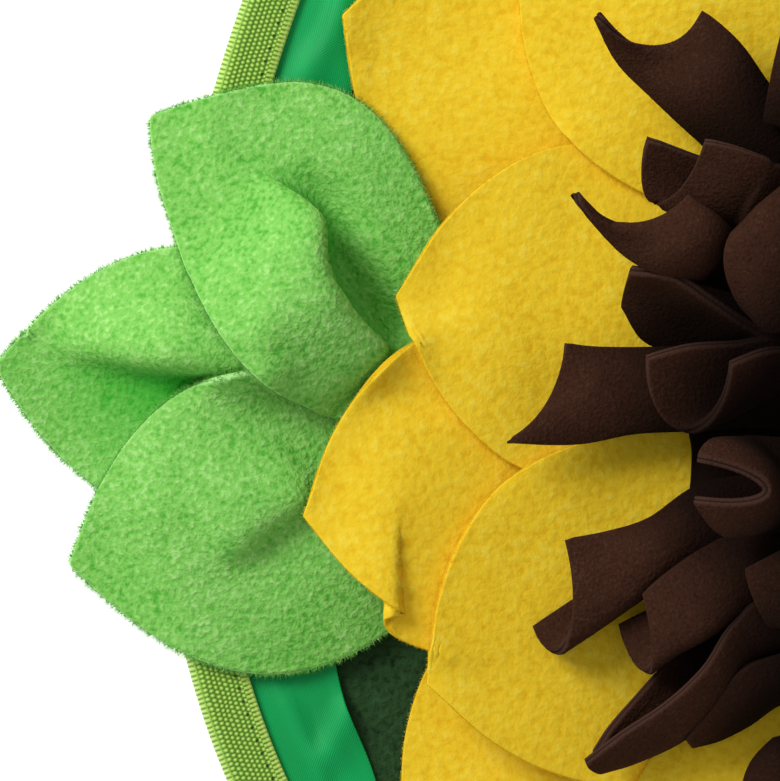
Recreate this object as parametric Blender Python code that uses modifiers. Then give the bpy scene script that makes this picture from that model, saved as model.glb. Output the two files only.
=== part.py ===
"""Round sunflower snuffle mat: a bound fleece disc with two rows of petals, leaves and a tuft of strips.

The mat lies flat on its underside at z = 0, with the middle of the flower at the origin. The leaves point
along -X. Lengths in the tables are millimetres, and angles are degrees from -X, positive towards +Y.
Every loose piece is laid on a heap, which holds the height of what lies below it, in sewing order.
"""

import math

import bmesh
import bpy
import numpy as np

MM = 0.001

# Driving dimensions, in millimetres.
MAT_RADIUS = 225.3
RIM_WAVES = 5
RIM_WAVE_HEIGHT = 3.0
BASE_THICKNESS = 3.0
BASE_MARGIN = 13.0
COLLAR_THICKNESS = 1.0
COLLAR_INNER_RADIUS = 198.5
COLLAR_LOOSE_WIDTH = 14.0
COLLAR_RIPPLE = 1.1
COLLAR_RIPPLES_ROUND = 17
COLLAR_SMALL_RIPPLES_ROUND = 29
COLLAR_SMALL_RIPPLE_SHARE = 0.6
COLLAR_EDGE_WAVE = 2.0
COLLAR_EDGE_WAVES_ROUND = 12
COLLAR_EDGE_WAVE_TURN = 3.45
WEBBING_THICKNESS = 1.1
WEBBING_LIP = 11.0
WEBBING_CORNER = 1.5
WEBBING_MIDDLE_HEIGHT = 2.4
FLEECE_THICKNESS = 2.0
STRIP_THICKNESS = 2.4
STRIP_WIDTH = 18.0
SEWING_GAP = 0.34
RING_GAP = 0.32
RING_STEPS = 56
BASE_SHOULDER_SLOPE = 0.8

PETALS_IN_ROW = 14
PETAL_LENGTH = 97.0
PETAL_HALF_WIDTH = 35.0
OUTER_REACH = 198.5
INNER_REACH = 179.5

# How the heap is measured and how limp the cloth is.
HEAP_REACH = 280.0
HEAP_CELL = 2.0
SAMPLE_SPACING = 1.5
SETTLE_STEPS = 260
SETTLE_STIFFNESS = 0.5
SETTLE_SAG = 0.05
CLEARING_STEPS = 8

# Half width of a cut piece along its length: share of the length from the foot, share of the half width.
PETAL_CUT = (
    (0.00, 0.50),
    (0.18, 0.76),
    (0.36, 0.93),
    (0.54, 1.00),
    (0.70, 0.94),
    (0.82, 0.74),
    (0.92, 0.43),
    (1.00, 0.03),
)
PETAL_CUT_PLAIN = PETAL_CUT[::2] + PETAL_CUT[-1:]
LEAF_CUT = (
    (0.00, 0.34),
    (0.14, 0.56),
    (0.28, 0.80),
    (0.42, 0.96),
    (0.56, 1.00),
    (0.68, 0.92),
    (0.79, 0.73),
    (0.88, 0.48),
    (0.95, 0.22),
    (1.00, 0.03),
)

# The petals' own differences, from the one that points along -X and on round the flower.
# turn: degrees off even spacing; reach: longer or shorter; lean: the axis turned off the radius;
# crown: how high the middle stands.
OUTER_PETALS = (
    dict(turn=-4.8, reach=-1.0, lean=1.0, crown=2.4),
    dict(turn=2.0, reach=0.0, lean=4.0, crown=2.4),
    dict(turn=-1.5, reach=1.5, lean=-3.0, crown=3.0),
    dict(turn=1.0, reach=-2.0, lean=2.0, crown=2.7),
    dict(turn=0.5, reach=0.5, lean=-4.0, crown=2.1),
    dict(turn=-2.0, reach=2.0, lean=3.0, crown=3.0),
    dict(turn=1.5, reach=-1.0, lean=0.0, crown=2.4),
    dict(turn=0.0, reach=1.0, lean=-2.0, crown=2.7),
    dict(turn=-1.0, reach=-1.5, lean=4.0, crown=2.4),
    dict(turn=2.5, reach=0.0, lean=-3.0, crown=3.0),
    dict(turn=-0.5, reach=2.0, lean=1.0, crown=2.1),
    dict(turn=-2.5, reach=-0.5, lean=-1.0, crown=2.7),
    dict(turn=1.0, reach=1.0, lean=3.0, crown=2.4),
    dict(turn=0.0, reach=3.0, lean=-3.0, crown=2.4),
)
INNER_PETALS = (
    dict(turn=0.0, reach=-2.0, lean=0.0, crown=3.0),
    dict(turn=0.3, reach=2.5, lean=0.0, crown=2.7),
    dict(turn=0.0, reach=0.5, lean=-2.0, crown=3.3),
    dict(turn=-1.5, reach=-1.5, lean=3.0, crown=3.0),
    dict(turn=1.5, reach=1.0, lean=-4.0, crown=3.6),
    dict(turn=0.0, reach=0.0, lean=2.0, crown=2.7),
    dict(turn=-2.0, reach=2.0, lean=-1.0, crown=3.3),
    dict(turn=1.0, reach=-1.0, lean=4.0, crown=3.0),
    dict(turn=2.0, reach=0.5, lean=-3.0, crown=3.6),
    dict(turn=-1.0, reach=-2.0, lean=1.0, crown=3.0),
    dict(turn=0.5, reach=1.5, lean=-5.0, crown=3.3),
    dict(turn=-0.5, reach=0.0, lean=3.0, crown=2.7),
    dict(turn=1.5, reach=-1.0, lean=-2.0, crown=3.3),
    dict(turn=0.8, reach=-3.4, lean=0.0, crown=2.4),
)
PETALS = {"outer": OUTER_PETALS, "inner": INNER_PETALS}
PLAIN_PETALS = range(4, 14)
FIRST_OUTER_ANGLE = -3.8
FIRST_INNER_ANGLE = 4.9

# Leaves: where foot and tip lie, half the width that shows, and how far the middle line sways to the
# left of the way from foot to tip, near the foot and near the tip.
LEAVES = (
    dict(name="leaf_middle", foot=(-172, -6), tip=(-259, 1), half=27, sway=(0, 0), crown=4),
    dict(name="leaf_lower", foot=(-158, -17), tip=(-243.5, -39.2), half=30.5, sway=(2, 1), crown=5),
    dict(name="leaf_upper", foot=(-160, -5), tip=(-226.9, 51.9), half=26.5, sway=(3, -5), crown=6),
)
SWAY_NEAR_FOOT = 0.3
SWAY_NEAR_TIP = 0.75

# Folds sewn or pressed into a piece: height of the ridge (or depth of the trough, negative), its width
# to either side, and the line it follows from where it fades out to where it is full.
FOLDS = {
    "leaf_upper": (
        dict(height=6.0, width=8.0, line=((-206, 38), (-199, 30), (-197, 22), (-193, 13), (-186, 5))),
        dict(height=-9.0, width=5.0, line=((-204, 42), (-194.5, 36), (-190.5, 29), (-189, 20), (-179, 9))),
    ),
    "leaf_middle": (
        dict(height=5.0, width=7.0, line=((-243, 5), (-230, 6), (-217, 6), (-203, 4))),
        dict(height=-6.0, width=7.0, line=((-238, -3), (-227, -4), (-215, -4), (-200, -3))),
    ),
    "leaf_lower": (
        dict(height=5.0, width=8.0, line=((-216, -37), (-206, -28), (-197, -22), (-184, -18))),
        dict(height=-6.0, width=6.0, line=((-209, -40), (-201, -34), (-192, -29), (-182, -26))),
    ),
    "outer_petal_01": (
        dict(height=5.0, width=9.0, line=((-170, 2), (-174, -15), (-178, -32), (-181, -50))),
        dict(height=-4.0, width=7.0, line=((-160, -10), (-166, -30), (-168, -50))),
    ),
}

# The root of a strip: ring radius, then how far it has risen where it starts to bend outwards.
RINGS = {
    "outer": dict(radius=75.0, rise=19.0),
    "middle": dict(radius=61.0, rise=27.0),
    "inner": dict(radius=46.0, rise=33.0),
}
RING_LEAN = 0.5
STRIP_FOOT_HEIGHT = BASE_THICKNESS + 2 * RING_GAP
# How much of the horn the last row but one takes up, and the least bow that still bends a row.
HORN_SHARE = 0.4
LEAST_BOW = 0.01
# Rows added between those of the table, and the rows and columns of a repeated strip.
ADDED_ROWS = 3
COPY_ROWS = 8
COPY_COLUMNS = 3

# Strips: ring and angle of the root; then rows along the strip, each with one long edge (x, y, z), the
# other long edge (x, y, z) and bow, how far the middle stands off the straight line between them.
# horn is how far the corners of the free end run ahead of its middle.
STRIPS = (
    dict(
        ring="outer", angle=25, across=4, horn=8,
        rows=(
            (-96, 46, 25, -103, 38, 24, 0),
            (-101, 55, 26, -109, 45, 24, 1),
            (-106, 63, 26, -118, 52, 22, 1),
            (-110, 70, 26, -128, 60, 22, -1),
            (-114, 73.5, 26, -137, 73, 27, -3),
        ),
    ),
    dict(
        ring="outer", angle=9.5, across=2, horn=0,
        rows=(
            (-97, 11, 34, -99, 6.5, 22, 0),
            (-104.5, 11, 36, -107, 6.5, 22, 0),
            (-109, 14, 36, -114, 7, 22, -1),
            (-116, 17.5, 36, -122, 8, 22, -1),
            (-129, 20.5, 33, -128, 9.5, 22, -1),
        ),
    ),
    dict(
        ring="outer", angle=-5, across=4, horn=3,
        rows=(
            (-102, 3, 25, -102, -11, 26, 1),
            (-115, 4, 25, -115, -11, 26, 1),
            (-127, 4, 25, -128, -12, 26, 0),
            (-135, 4.5, 24.5, -140, -14, 25, 0),
            (-142, 5.5, 24.5, -154, -13.5, 27, -1.5),
        ),
    ),
    dict(
        ring="outer", angle=-19.5, across=4, horn=3,
        rows=(
            (-106, -24, 28, -101, -37, 28, 1),
            (-117, -26, 28, -111, -41, 28, 1),
            (-127, -31, 27, -121.5, -46.5, 27, 2),
            (-135, -34, 26, -130, -51.5, 24, 3),
            (-142, -35, 26, -148, -54, 19, 8),
        ),
    ),
    dict(
        ring="outer", angle=-34, across=4, horn=0,
        rows=(
            (-103, -47, 22, -95, -60, 22, 6),
            (-119, -54.5, 20, -109, -65, 20, 8),
            (-127, -63, 20, -117, -73, 19, 8),
            (-133, -71, 19, -126, -79, 18, 6),
            (-138, -78, 20, -134, -82, 18, 2),
        ),
    ),
    dict(
        ring="outer", angle=-49, across=4, horn=0,
        rows=(
            (-90, -59, 31, -84, -70, 21, 1),
            (-101, -60, 31, -97, -70, 20, 2),
            (-108, -64, 30, -105, -73, 19, 3),
            (-114, -69, 26, -110, -75, 18, 3),
            (-117, -74, 21, -115, -76, 18, 1),
        ),
    ),
    dict(
        ring="middle", angle=31, across=4, horn=0,
        rows=(
            (-94, 37, 42, -98, 26, 36, 1),
            (-102.5, 42, 44, -106, 28.5, 36, 1),
            (-111, 46, 45, -113, 32, 34, 1),
            (-116, 42, 46, -117.5, 40, 31, 0),
            (-120, 37, 44, -122.5, 46, 33, -1),
            (-124, 35, 42, -126, 47.5, 36, -1),
        ),
    ),
    dict(
        ring="middle", angle=12, across=4, horn=7,
        rows=(
            (-92, 20, 38, -98, 8, 38, 1),
            (-102, 25, 40, -109, 14, 40, 2),
            (-108, 29, 41, -117, 19, 41, 3),
            (-113, 32, 41, -127, 22, 40, 1),
            (-117, 35.5, 41, -141, 37, 45, -3),
        ),
    ),
    dict(
        ring="middle", angle=-6, across=4, horn=0,
        rows=(
            (-95, 4, 41, -96, -8, 34, 1),
            (-104, 2, 43, -105, -12, 34, 1),
            (-110, -3, 46, -112, -8, 31, 0),
            (-113.5, -9, 45, -115, 0, 32, -1),
            (-117, -12.5, 43, -122, 3, 35, -1),
            (-119, -12.5, 42, -126, 3, 38, -1),
        ),
    ),
    dict(
        ring="middle", angle=-24, across=6, horn=6,
        rows=(
            (-95, -15, 35, -93, -29, 34, 4),
            (-102, -14, 37, -100, -30, 36, 7),
            (-109, -15.5, 41, -108, -30, 40, 9),
            (-114.5, -17.5, 51, -114.5, -29, 50, 9),
        ),
    ),
    dict(
        ring="middle", angle=-42, across=4, horn=4,
        rows=(
            (-100, -35, 33, -96, -49, 33, 1),
            (-112, -38, 33, -106, -54, 32, 2),
            (-120, -43, 32, -115, -58.5, 30, 3),
            (-125, -46.5, 30, -122, -60.5, 27, 5),
            (-127, -48, 28, -130.5, -55, 20, 7),
        ),
    ),
    dict(
        ring="inner", angle=19, across=4, horn=1,
        rows=(
            (-82, 36, 47, -78, 18, 47, 2),
            (-97, 37, 50, -90, 19, 49, 3),
            (-104, 33, 49, -96, 13, 48, 3),
            (-109.5, 24, 46, -101, 7.5, 47, 1),
        ),
    ),
    dict(
        ring="inner", angle=-30, across=4, horn=0,
        rows=(
            (-80, -29, 40, -74, -45, 40, 2),
            (-94, -34, 42, -88, -48, 41, 3),
            (-106, -41, 38, -101, -52, 37, 3),
        ),
    ),
    dict(
        ring="middle", angle=50.5, across=4, horn=0,
        rows=(
            (-78, 68, 38, -84, 51, 36, 2),
            (-90, 73, 39, -94, 55.5, 36, 2),
            (-98, 72, 37, -101, 57, 35, 1),
        ),
    ),
)
# The other strips repeat a strip of the table, turned about the middle of the flower by so many degrees.
STRIP_COPIES = (
    dict(of=3, turn=85),
    dict(of=1, turn=149),
    dict(of=4, turn=140.5),
    dict(of=3, turn=190),
    dict(of=5, turn=196),
    dict(of=1, turn=289),
    dict(of=3, turn=293),
    dict(of=12, turn=95),
    dict(of=13, turn=170),
    dict(of=12, turn=250),
    dict(of=8, turn=150),
    dict(of=8, turn=230),
)

MATERIALS = {
    "base_fleece": dict(colour=(0.010, 0.045, 0.016), roughness=0.95),
    "collar_satin": dict(colour=(0.004, 0.352, 0.082), roughness=0.42),
    "binding_webbing": dict(colour=(0.262, 0.578, 0.045), roughness=0.50),
    "petal_fleece": dict(colour=(0.913, 0.645, 0.033), roughness=0.90),
    "leaf_fleece": dict(colour=(0.156, 0.578, 0.102), roughness=0.90),
    "strip_fleece": dict(colour=(0.048, 0.019, 0.014), roughness=0.92),
}


def clear_scene():
    for old in list(bpy.data.objects):
        bpy.data.objects.remove(old, do_unlink=True)


def make_collection(name):
    collection = bpy.data.collections.new(name)
    bpy.context.scene.collection.children.link(collection)
    return collection


def make_material(name):
    values = MATERIALS[name]
    material = bpy.data.materials.new(name)
    material.use_nodes = True
    shader = material.node_tree.nodes["Principled BSDF"]
    shader.inputs["Base Color"].default_value = (*values["colour"], 1.0)
    shader.inputs["Roughness"].default_value = values["roughness"]
    shader.inputs["Metallic"].default_value = 0.0
    return material


def add_object(mesh_data, name, collection, material):
    """Turns a bmesh in millimetres into an object in metres."""
    bmesh.ops.scale(mesh_data, vec=(MM, MM, MM), verts=mesh_data.verts)
    mesh = bpy.data.meshes.new(name)
    mesh_data.to_mesh(mesh)
    mesh_data.free()
    mesh.materials.append(material)
    piece = bpy.data.objects.new(name, mesh)
    collection.objects.link(piece)
    return piece


def add_thickness(piece, thickness):
    """The grid is the underside, and the cloth grows from it along its normals."""
    solidify = piece.modifiers.new("thickness", "SOLIDIFY")
    solidify.thickness = thickness * MM
    solidify.offset = 1.0
    solidify.use_rim = True


def from_minus_x(radius, angle):
    """Plan position at an angle from -X, positive towards +Y."""
    turned = math.radians(angle)
    return np.array((-radius * math.cos(turned), radius * math.sin(turned)))


def rim_wave(around):
    """How far the rim stands out or in, at an angle about +Z in radians."""
    return -RIM_WAVE_HEIGHT * np.sin(RIM_WAVES * around)


class Heap:
    """Height of what already lies on the floor, cell by cell. The next piece rests on it."""

    def __init__(self):
        side = round(2 * HEAP_REACH / HEAP_CELL)
        self.heights = np.zeros((side, side))
        self.spread = self.heights.copy()

    def cells(self, points):
        index = ((points[:, :2] + HEAP_REACH) / HEAP_CELL).astype(int)
        return index[:, 0], index[:, 1]

    def add(self, points):
        """Raises the heap to these points, and spreads it a cell each way so that cloth clears edges."""
        np.maximum.at(self.heights, self.cells(points), points[:, 2])
        self.spread = self.heights.copy()
        for step_x in (-1, 0, 1):
            for step_y in (-1, 0, 1):
                moved = np.roll(self.heights, (step_x, step_y), axis=(0, 1))
                self.spread = np.maximum(self.spread, moved)

    def below(self, points):
        return self.spread[self.cells(points)]


def sample_weights(points, triangles):
    """Corner numbers and weights of samples all over the triangles, no further apart than the spacing."""
    ends = points[triangles]
    longest = max(np.linalg.norm(ends[:, i] - ends[:, i - 1], axis=1).max() for i in range(3))
    parts = max(2, math.ceil(longest / SAMPLE_SPACING))
    steps = [(i, j, parts - i - j) for i in range(parts + 1) for j in range(parts + 1 - i)]
    weights = np.array(steps) / parts
    corners = np.repeat(triangles, len(weights), axis=0)
    return corners, np.tile(weights, (len(triangles), 1))


def vertex_normals(points, triangles):
    a, b, c = (points[triangles[:, i]] for i in range(3))
    across = np.cross(b - a, c - a)
    normals = np.zeros_like(points)
    for i in range(3):
        np.add.at(normals, triangles[:, i], across)
    return normals / np.linalg.norm(normals, axis=1, keepdims=True)


def neighbour_mean(values, rows, columns):
    grid = np.pad(values.reshape(rows, columns), 1, mode="edge")
    return (grid[:-2, 1:-1] + grid[2:, 1:-1] + grid[1:-1, :-2] + grid[1:-1, 2:]).reshape(-1) / 4


def lift_clear(heights, corners, weights, floor):
    """Raises each corner just enough for every sample to be at or above its floor."""
    lack = floor - (weights * heights[corners]).sum(axis=1)
    short = lack > 0
    push = weights[short] * (lack[short] / (weights[short] ** 2).sum(axis=1))[:, None]
    rise = np.zeros_like(heights)
    np.maximum.at(rise, corners[short], push)
    return heights + rise


def settle(points, triangles, rows, columns, heap):
    """Lets a sheet sag onto the heap. Its z on entry is its own relief above where it would lie flat."""
    relief = points[:, 2].copy()
    corners, weights = sample_weights(points, triangles)
    sampled = (weights[:, :, None] * points[corners]).sum(axis=1)
    floor = heap.below(sampled) + SEWING_GAP
    support = np.zeros(len(points))
    for _ in range(SETTLE_STEPS):
        support += SETTLE_STIFFNESS * (neighbour_mean(support, rows, columns) - support) - SETTLE_SAG
        support = lift_clear(support + relief, corners, weights, floor) - relief
    heights = support + relief
    for _ in range(CLEARING_STEPS):
        heights = lift_clear(heights, corners, weights, floor)
    points[:, 2] = heights


def drop_on_heap(points, triangles, thickness, heap):
    """Adds the finished solid's two faces to the heap."""
    corners, weights = sample_weights(points, triangles)
    far_side = points + vertex_normals(points, triangles) * thickness
    for side in (points, far_side):
        heap.add((weights[:, :, None] * side[corners]).sum(axis=1))


def grid_mesh(rows, columns):
    """A grid of triangles, with its vertices in order of rows and then columns."""
    mesh_data = bmesh.new()
    bmesh.ops.create_grid(mesh_data, x_segments=columns - 1, y_segments=rows - 1, size=1.0)
    bmesh.ops.triangulate(mesh_data, faces=mesh_data.faces, quad_method="FIXED")
    mesh_data.verts.ensure_lookup_table()
    triangles = np.array([[vertex.index for vertex in face.verts] for face in mesh_data.faces])
    return mesh_data, triangles


def set_points(mesh_data, points):
    for vertex, place in zip(mesh_data.verts, points):
        vertex.co = place


def line_distance(points, line):
    """Distance of plan points to a line of several stretches, and how far along it they lie, 0 to 1."""
    line = np.array(line, float)
    lengths = np.linalg.norm(np.diff(line, axis=0), axis=1)
    starts = np.concatenate(([0], np.cumsum(lengths)))
    nearest = np.full(len(points), np.inf)
    along = np.zeros(len(points))
    for begin, finish, length, start in zip(line[:-1], line[1:], lengths, starts):
        share = np.clip((points - begin) @ (finish - begin) / length**2, 0, 1)
        distance = np.linalg.norm(points - begin - share[:, None] * (finish - begin), axis=1)
        closer = distance < nearest
        nearest[closer] = distance[closer]
        along[closer] = ((start + share * length) / starts[-1])[closer]
    return nearest, along


def fold_relief(plan, folds):
    relief = np.zeros(len(plan))
    for fold in folds:
        distance, along = line_distance(plan, fold["line"])
        fade = 0.15 + 0.85 * np.sin(along * math.pi / 2)
        relief += fold["height"] * fade * np.exp(-((distance / fold["width"]) ** 2))
    return relief


def add_cut_piece(name, foot, tip, half_width, cut, columns, crown, sway, collection, material, heap):
    """A flat cut piece of fleece, laid on the heap from its foot to its tip."""
    foot, tip = np.array(foot, float), np.array(tip, float)
    along = np.array([share for share, _ in cut])
    widths = half_width * np.array([width for _, width in cut])
    ahead = (tip - foot) / np.linalg.norm(tip - foot)
    left = np.array((-ahead[1], ahead[0]))
    across = np.linspace(-1, 1, columns)
    sways = np.interp(along, (0, SWAY_NEAR_FOOT, SWAY_NEAR_TIP, 1), (0, *sway, 0))
    middle = foot + along[:, None] * (tip - foot) + sways[:, None] * left
    plan = middle[:, None] + (widths[:, None] * across)[..., None] * left
    plan = plan.reshape(-1, 2)
    bulge = np.outer(np.sin(np.clip(along * 1.1, 0, 1) * math.pi), 1 - across**2)
    relief = crown * bulge.reshape(-1) + fold_relief(plan, FOLDS.get(name, ()))
    points = np.column_stack((plan, relief))
    mesh_data, triangles = grid_mesh(len(cut), columns)
    if vertex_normals(points, triangles)[:, 2].sum() < 0:
        points = points.reshape(len(cut), columns, 3)[:, ::-1].reshape(-1, 3)
    settle(points, triangles, len(cut), columns, heap)
    drop_on_heap(points, triangles, FLEECE_THICKNESS, heap)
    set_points(mesh_data, points)
    piece = add_object(mesh_data, name, collection, material)
    add_thickness(piece, FLEECE_THICKNESS)
    return piece


def add_petals(row, numbers, first_angle, reach, collection, material, heap):
    """Lays these petals of a row one over the next. Number 1 points along -X."""
    for number in numbers:
        own = PETALS[row][number - 1]
        angle = first_angle - 360 / PETALS_IN_ROW * (number - 1) + own["turn"]
        tip = from_minus_x(reach + own["reach"], angle)
        foot = tip - from_minus_x(PETAL_LENGTH, angle + own["lean"])
        cut, columns = (PETAL_CUT_PLAIN, 5) if number in PLAIN_PETALS else (PETAL_CUT, 7)
        add_cut_piece(
            f"{row}_petal_{number:02d}", foot, tip, PETAL_HALF_WIDTH, cut, columns, own["crown"],
            (0, 0), collection, material, heap,
        )


def add_leaves(collection, material, heap):
    for leaf in LEAVES:
        add_cut_piece(
            leaf["name"], leaf["foot"], leaf["tip"], leaf["half"], LEAF_CUT, 8, leaf["crown"],
            leaf["sway"], collection, material, heap,
        )


def add_ring(name, section, closed, collection, material, heap, ripple=None):
    """A section of radius and height points, spun about +Z and let out or in with the rim's wave."""
    mesh_data = bmesh.new()
    corners = [mesh_data.verts.new((radius, 0, height)) for radius, height in section]
    pairs = list(zip(corners, corners[1:] + corners[:1]))
    edges = [mesh_data.edges.new(pair) for pair in (pairs if closed else pairs[:-1])]
    bmesh.ops.spin(
        mesh_data, geom=corners + edges, cent=(0, 0, 0), axis=(0, 0, 1), angle=2 * math.pi,
        steps=RING_STEPS, use_merge=True,
    )
    bmesh.ops.remove_doubles(mesh_data, verts=mesh_data.verts, dist=0.01)
    for vertex in mesh_data.verts:
        radius = math.hypot(vertex.co.x, vertex.co.y)
        around = math.atan2(vertex.co.y, vertex.co.x)
        let_out = 1 + rim_wave(around) / MAT_RADIUS
        if ripple is not None:
            outwards, upwards = ripple(radius, around)
            let_out += outwards / radius
            vertex.co.z += upwards
        vertex.co.x *= let_out
        vertex.co.y *= let_out
    bmesh.ops.triangulate(mesh_data, faces=mesh_data.faces)
    bmesh.ops.recalc_face_normals(mesh_data, faces=mesh_data.faces)
    mesh_data.verts.index_update()
    points = np.array([vertex.co for vertex in mesh_data.verts])
    triangles = np.array([[vertex.index for vertex in face.verts] for face in mesh_data.faces])
    corner_numbers, weights = sample_weights(points, triangles)
    heap.add((weights[:, :, None] * points[corner_numbers]).sum(axis=1))
    return add_object(mesh_data, name, collection, material)


def add_base(collection, material, heap):
    """The fleece disc: flat below, and pressed thinner where the tape's lower lip lies under its edge."""
    shoulder = MAT_RADIUS - BASE_MARGIN
    edge = MAT_RADIUS - WEBBING_THICKNESS - 4 * RING_GAP
    underside = WEBBING_THICKNESS + RING_GAP
    section = (
        (0.0, 0.0),
        (shoulder, 0.0),
        (shoulder + BASE_SHOULDER_SLOPE, underside),
        (edge, underside),
        (edge, BASE_THICKNESS),
        (0.0, BASE_THICKNESS),
    )
    add_ring("base", section, False, collection, material, heap)


def collar_ripple(radius, around):
    """The satin is free at its inner edge, which wanders in and out and stands up in soft ripples."""
    sewn = MAT_RADIUS - WEBBING_LIP - WEBBING_CORNER
    loose = np.clip((sewn - radius) / COLLAR_LOOSE_WIDTH, 0, 1)
    waves = math.sin(COLLAR_RIPPLES_ROUND * around)
    waves += COLLAR_SMALL_RIPPLE_SHARE * math.sin(COLLAR_SMALL_RIPPLES_ROUND * around + 1)
    height = 0.5 + 0.5 * waves / (1 + COLLAR_SMALL_RIPPLE_SHARE)
    inwards = COLLAR_EDGE_WAVE * math.cos(COLLAR_EDGE_WAVES_ROUND * (around - COLLAR_EDGE_WAVE_TURN))
    return -inwards * loose, COLLAR_RIPPLE * loose * height


def add_collar(collection, material, heap):
    inner = COLLAR_INNER_RADIUS
    middle = MAT_RADIUS - WEBBING_LIP - WEBBING_CORNER
    outer = MAT_RADIUS - WEBBING_THICKNESS - WEBBING_CORNER
    low = BASE_THICKNESS + RING_GAP
    high = low + COLLAR_THICKNESS
    section = ((inner, low), (middle, low), (outer, low), (outer, high), (middle, high), (inner, high))
    add_ring("collar", section, True, collection, material, heap, collar_ripple)


def add_binding(collection, material, heap):
    """Tape folded over the rim, as a C in section that is open towards the middle."""
    lip = MAT_RADIUS - WEBBING_LIP
    top = BASE_THICKNESS + COLLAR_THICKNESS + 2 * RING_GAP
    inside = MAT_RADIUS - WEBBING_THICKNESS
    section = (
        (lip, 0.0),
        (MAT_RADIUS - WEBBING_CORNER, 0.0),
        (MAT_RADIUS, WEBBING_MIDDLE_HEIGHT),
        (MAT_RADIUS - WEBBING_CORNER, top + WEBBING_THICKNESS),
        (lip, top + WEBBING_THICKNESS),
        (lip, top),
        (inside - 2 * RING_GAP, top),
        (inside - RING_GAP, WEBBING_THICKNESS),
        (lip, WEBBING_THICKNESS),
    )
    add_ring("binding", section, True, collection, material, heap)


def smooth_rows(rows, count):
    """The rows of a table read at even steps along the smooth curve through them."""
    rows = np.array(rows, float)
    ends = np.vstack((2 * rows[0] - rows[1], rows, 2 * rows[-1] - rows[-2]))
    middles = (rows[:, :3] + rows[:, 3:6]) / 2
    lengths = np.linalg.norm(np.diff(middles, axis=0), axis=1)
    starts = np.concatenate(([0], np.cumsum(lengths)))
    result = []
    for place in np.linspace(0, starts[-1], count):
        i = min(np.searchsorted(starts, place, side="right") - 1, len(lengths) - 1)
        t = (place - starts[i]) / lengths[i]
        before, here, there, after = ends[i : i + 4]
        result.append(
            0.5 * (
                2 * here + (there - before) * t + (2 * before - 5 * here + 4 * there - after) * t**2
                + (3 * here - before - 3 * there + after) * t**3
            )
        )
    return np.array(result)


def strip_points(strip, turn, along, across):
    """Grid of a strip's inner face, from its foot on the disc to its free end."""
    ring = RINGS[strip["ring"]]
    angle = math.radians(strip["angle"])
    half = STRIP_WIDTH / 2 * np.array((math.sin(angle), math.cos(angle)))
    rows = []
    for radius, height in ((ring["radius"], STRIP_FOOT_HEIGHT), (ring["radius"] + RING_LEAN, ring["rise"])):
        middle = from_minus_x(radius, strip["angle"])
        rows.append((*(middle + half), height, *(middle - half), height, 0))
    rows = smooth_rows(rows + list(strip["rows"]), along)
    one, other, bow = rows[:, :3], rows[:, 3:6], rows[:, 6]
    middle = (one + other) / 2
    ahead = np.gradient(middle, axis=0)
    ahead /= np.linalg.norm(ahead, axis=1, keepdims=True)
    chord = other - one
    length = np.linalg.norm(chord, axis=1)
    side = chord / length[:, None]
    face = np.cross(ahead, side)
    face /= np.linalg.norm(face, axis=1, keepdims=True)
    bow = np.where(np.abs(bow) < LEAST_BOW, LEAST_BOW, bow)
    half_arc = 2 * np.arctan(2 * bow / length)
    radius = length / (2 * np.sin(half_arc))
    share = np.linspace(-1, 1, across)
    bend = half_arc[:, None] * share
    sideways = radius[:, None] * np.sin(bend)
    outwards = radius[:, None] * (np.cos(bend) - np.cos(half_arc)[:, None])
    points = middle[:, None] + sideways[..., None] * side[:, None] + outwards[..., None] * face[:, None]
    points[-1] += strip["horn"] * (share**2 - 1)[:, None] * ahead[-1]
    points[-2] += HORN_SHARE * strip["horn"] * (share**2 - 1)[:, None] * ahead[-2]
    turned_by = math.radians(turn)
    cosine, sine = math.cos(turned_by), math.sin(turned_by)
    spin = np.array(((cosine, sine, 0), (-sine, cosine, 0), (0, 0, 1)))
    return points.reshape(-1, 3) @ spin


def add_strip(number, strip, turn, along, across, collection, material):
    points = strip_points(strip, turn, along, across)
    mesh_data, _ = grid_mesh(along, across)
    set_points(mesh_data, points)
    piece = add_object(mesh_data, f"strip_{number:02d}", collection, material)
    add_thickness(piece, STRIP_THICKNESS)


def add_strips(collection, material):
    for number, strip in enumerate(STRIPS, start=1):
        rows = len(strip["rows"]) + ADDED_ROWS
        add_strip(number, strip, 0, rows, strip["across"] + 1, collection, material)
    for number, copy in enumerate(STRIP_COPIES, start=len(STRIPS) + 1):
        strip = STRIPS[copy["of"] - 1]
        add_strip(number, strip, copy["turn"], COPY_ROWS, COPY_COLUMNS, collection, material)


def main():
    clear_scene()
    collection = make_collection("snuffle_mat")
    materials = {name: make_material(name) for name in MATERIALS}
    heap = Heap()
    add_base(collection, materials["base_fleece"], heap)
    add_collar(collection, materials["collar_satin"], heap)
    add_binding(collection, materials["binding_webbing"], heap)
    yellow = materials["petal_fleece"]
    all_petals = range(1, PETALS_IN_ROW + 1)
    add_petals("outer", all_petals[1:], FIRST_OUTER_ANGLE, OUTER_REACH, collection, yellow, heap)
    add_leaves(collection, materials["leaf_fleece"], heap)
    add_petals("outer", all_petals[:1], FIRST_OUTER_ANGLE, OUTER_REACH, collection, yellow, heap)
    add_petals("inner", all_petals, FIRST_INNER_ANGLE, INNER_REACH, collection, yellow, heap)
    add_strips(collection, materials["strip_fleece"])


main()
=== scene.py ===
"""Looks of a round sunflower snuffle mat: fleece petals, leaves and strips on a bound fleece disc.

Lengths in the tables are millimetres, and angles are degrees from -X, positive towards +Y. Each piece of
cloth is a grid of points halfway through its thickness, laid on the pile of what was sewn before it.
"""

import functools
import math

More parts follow.
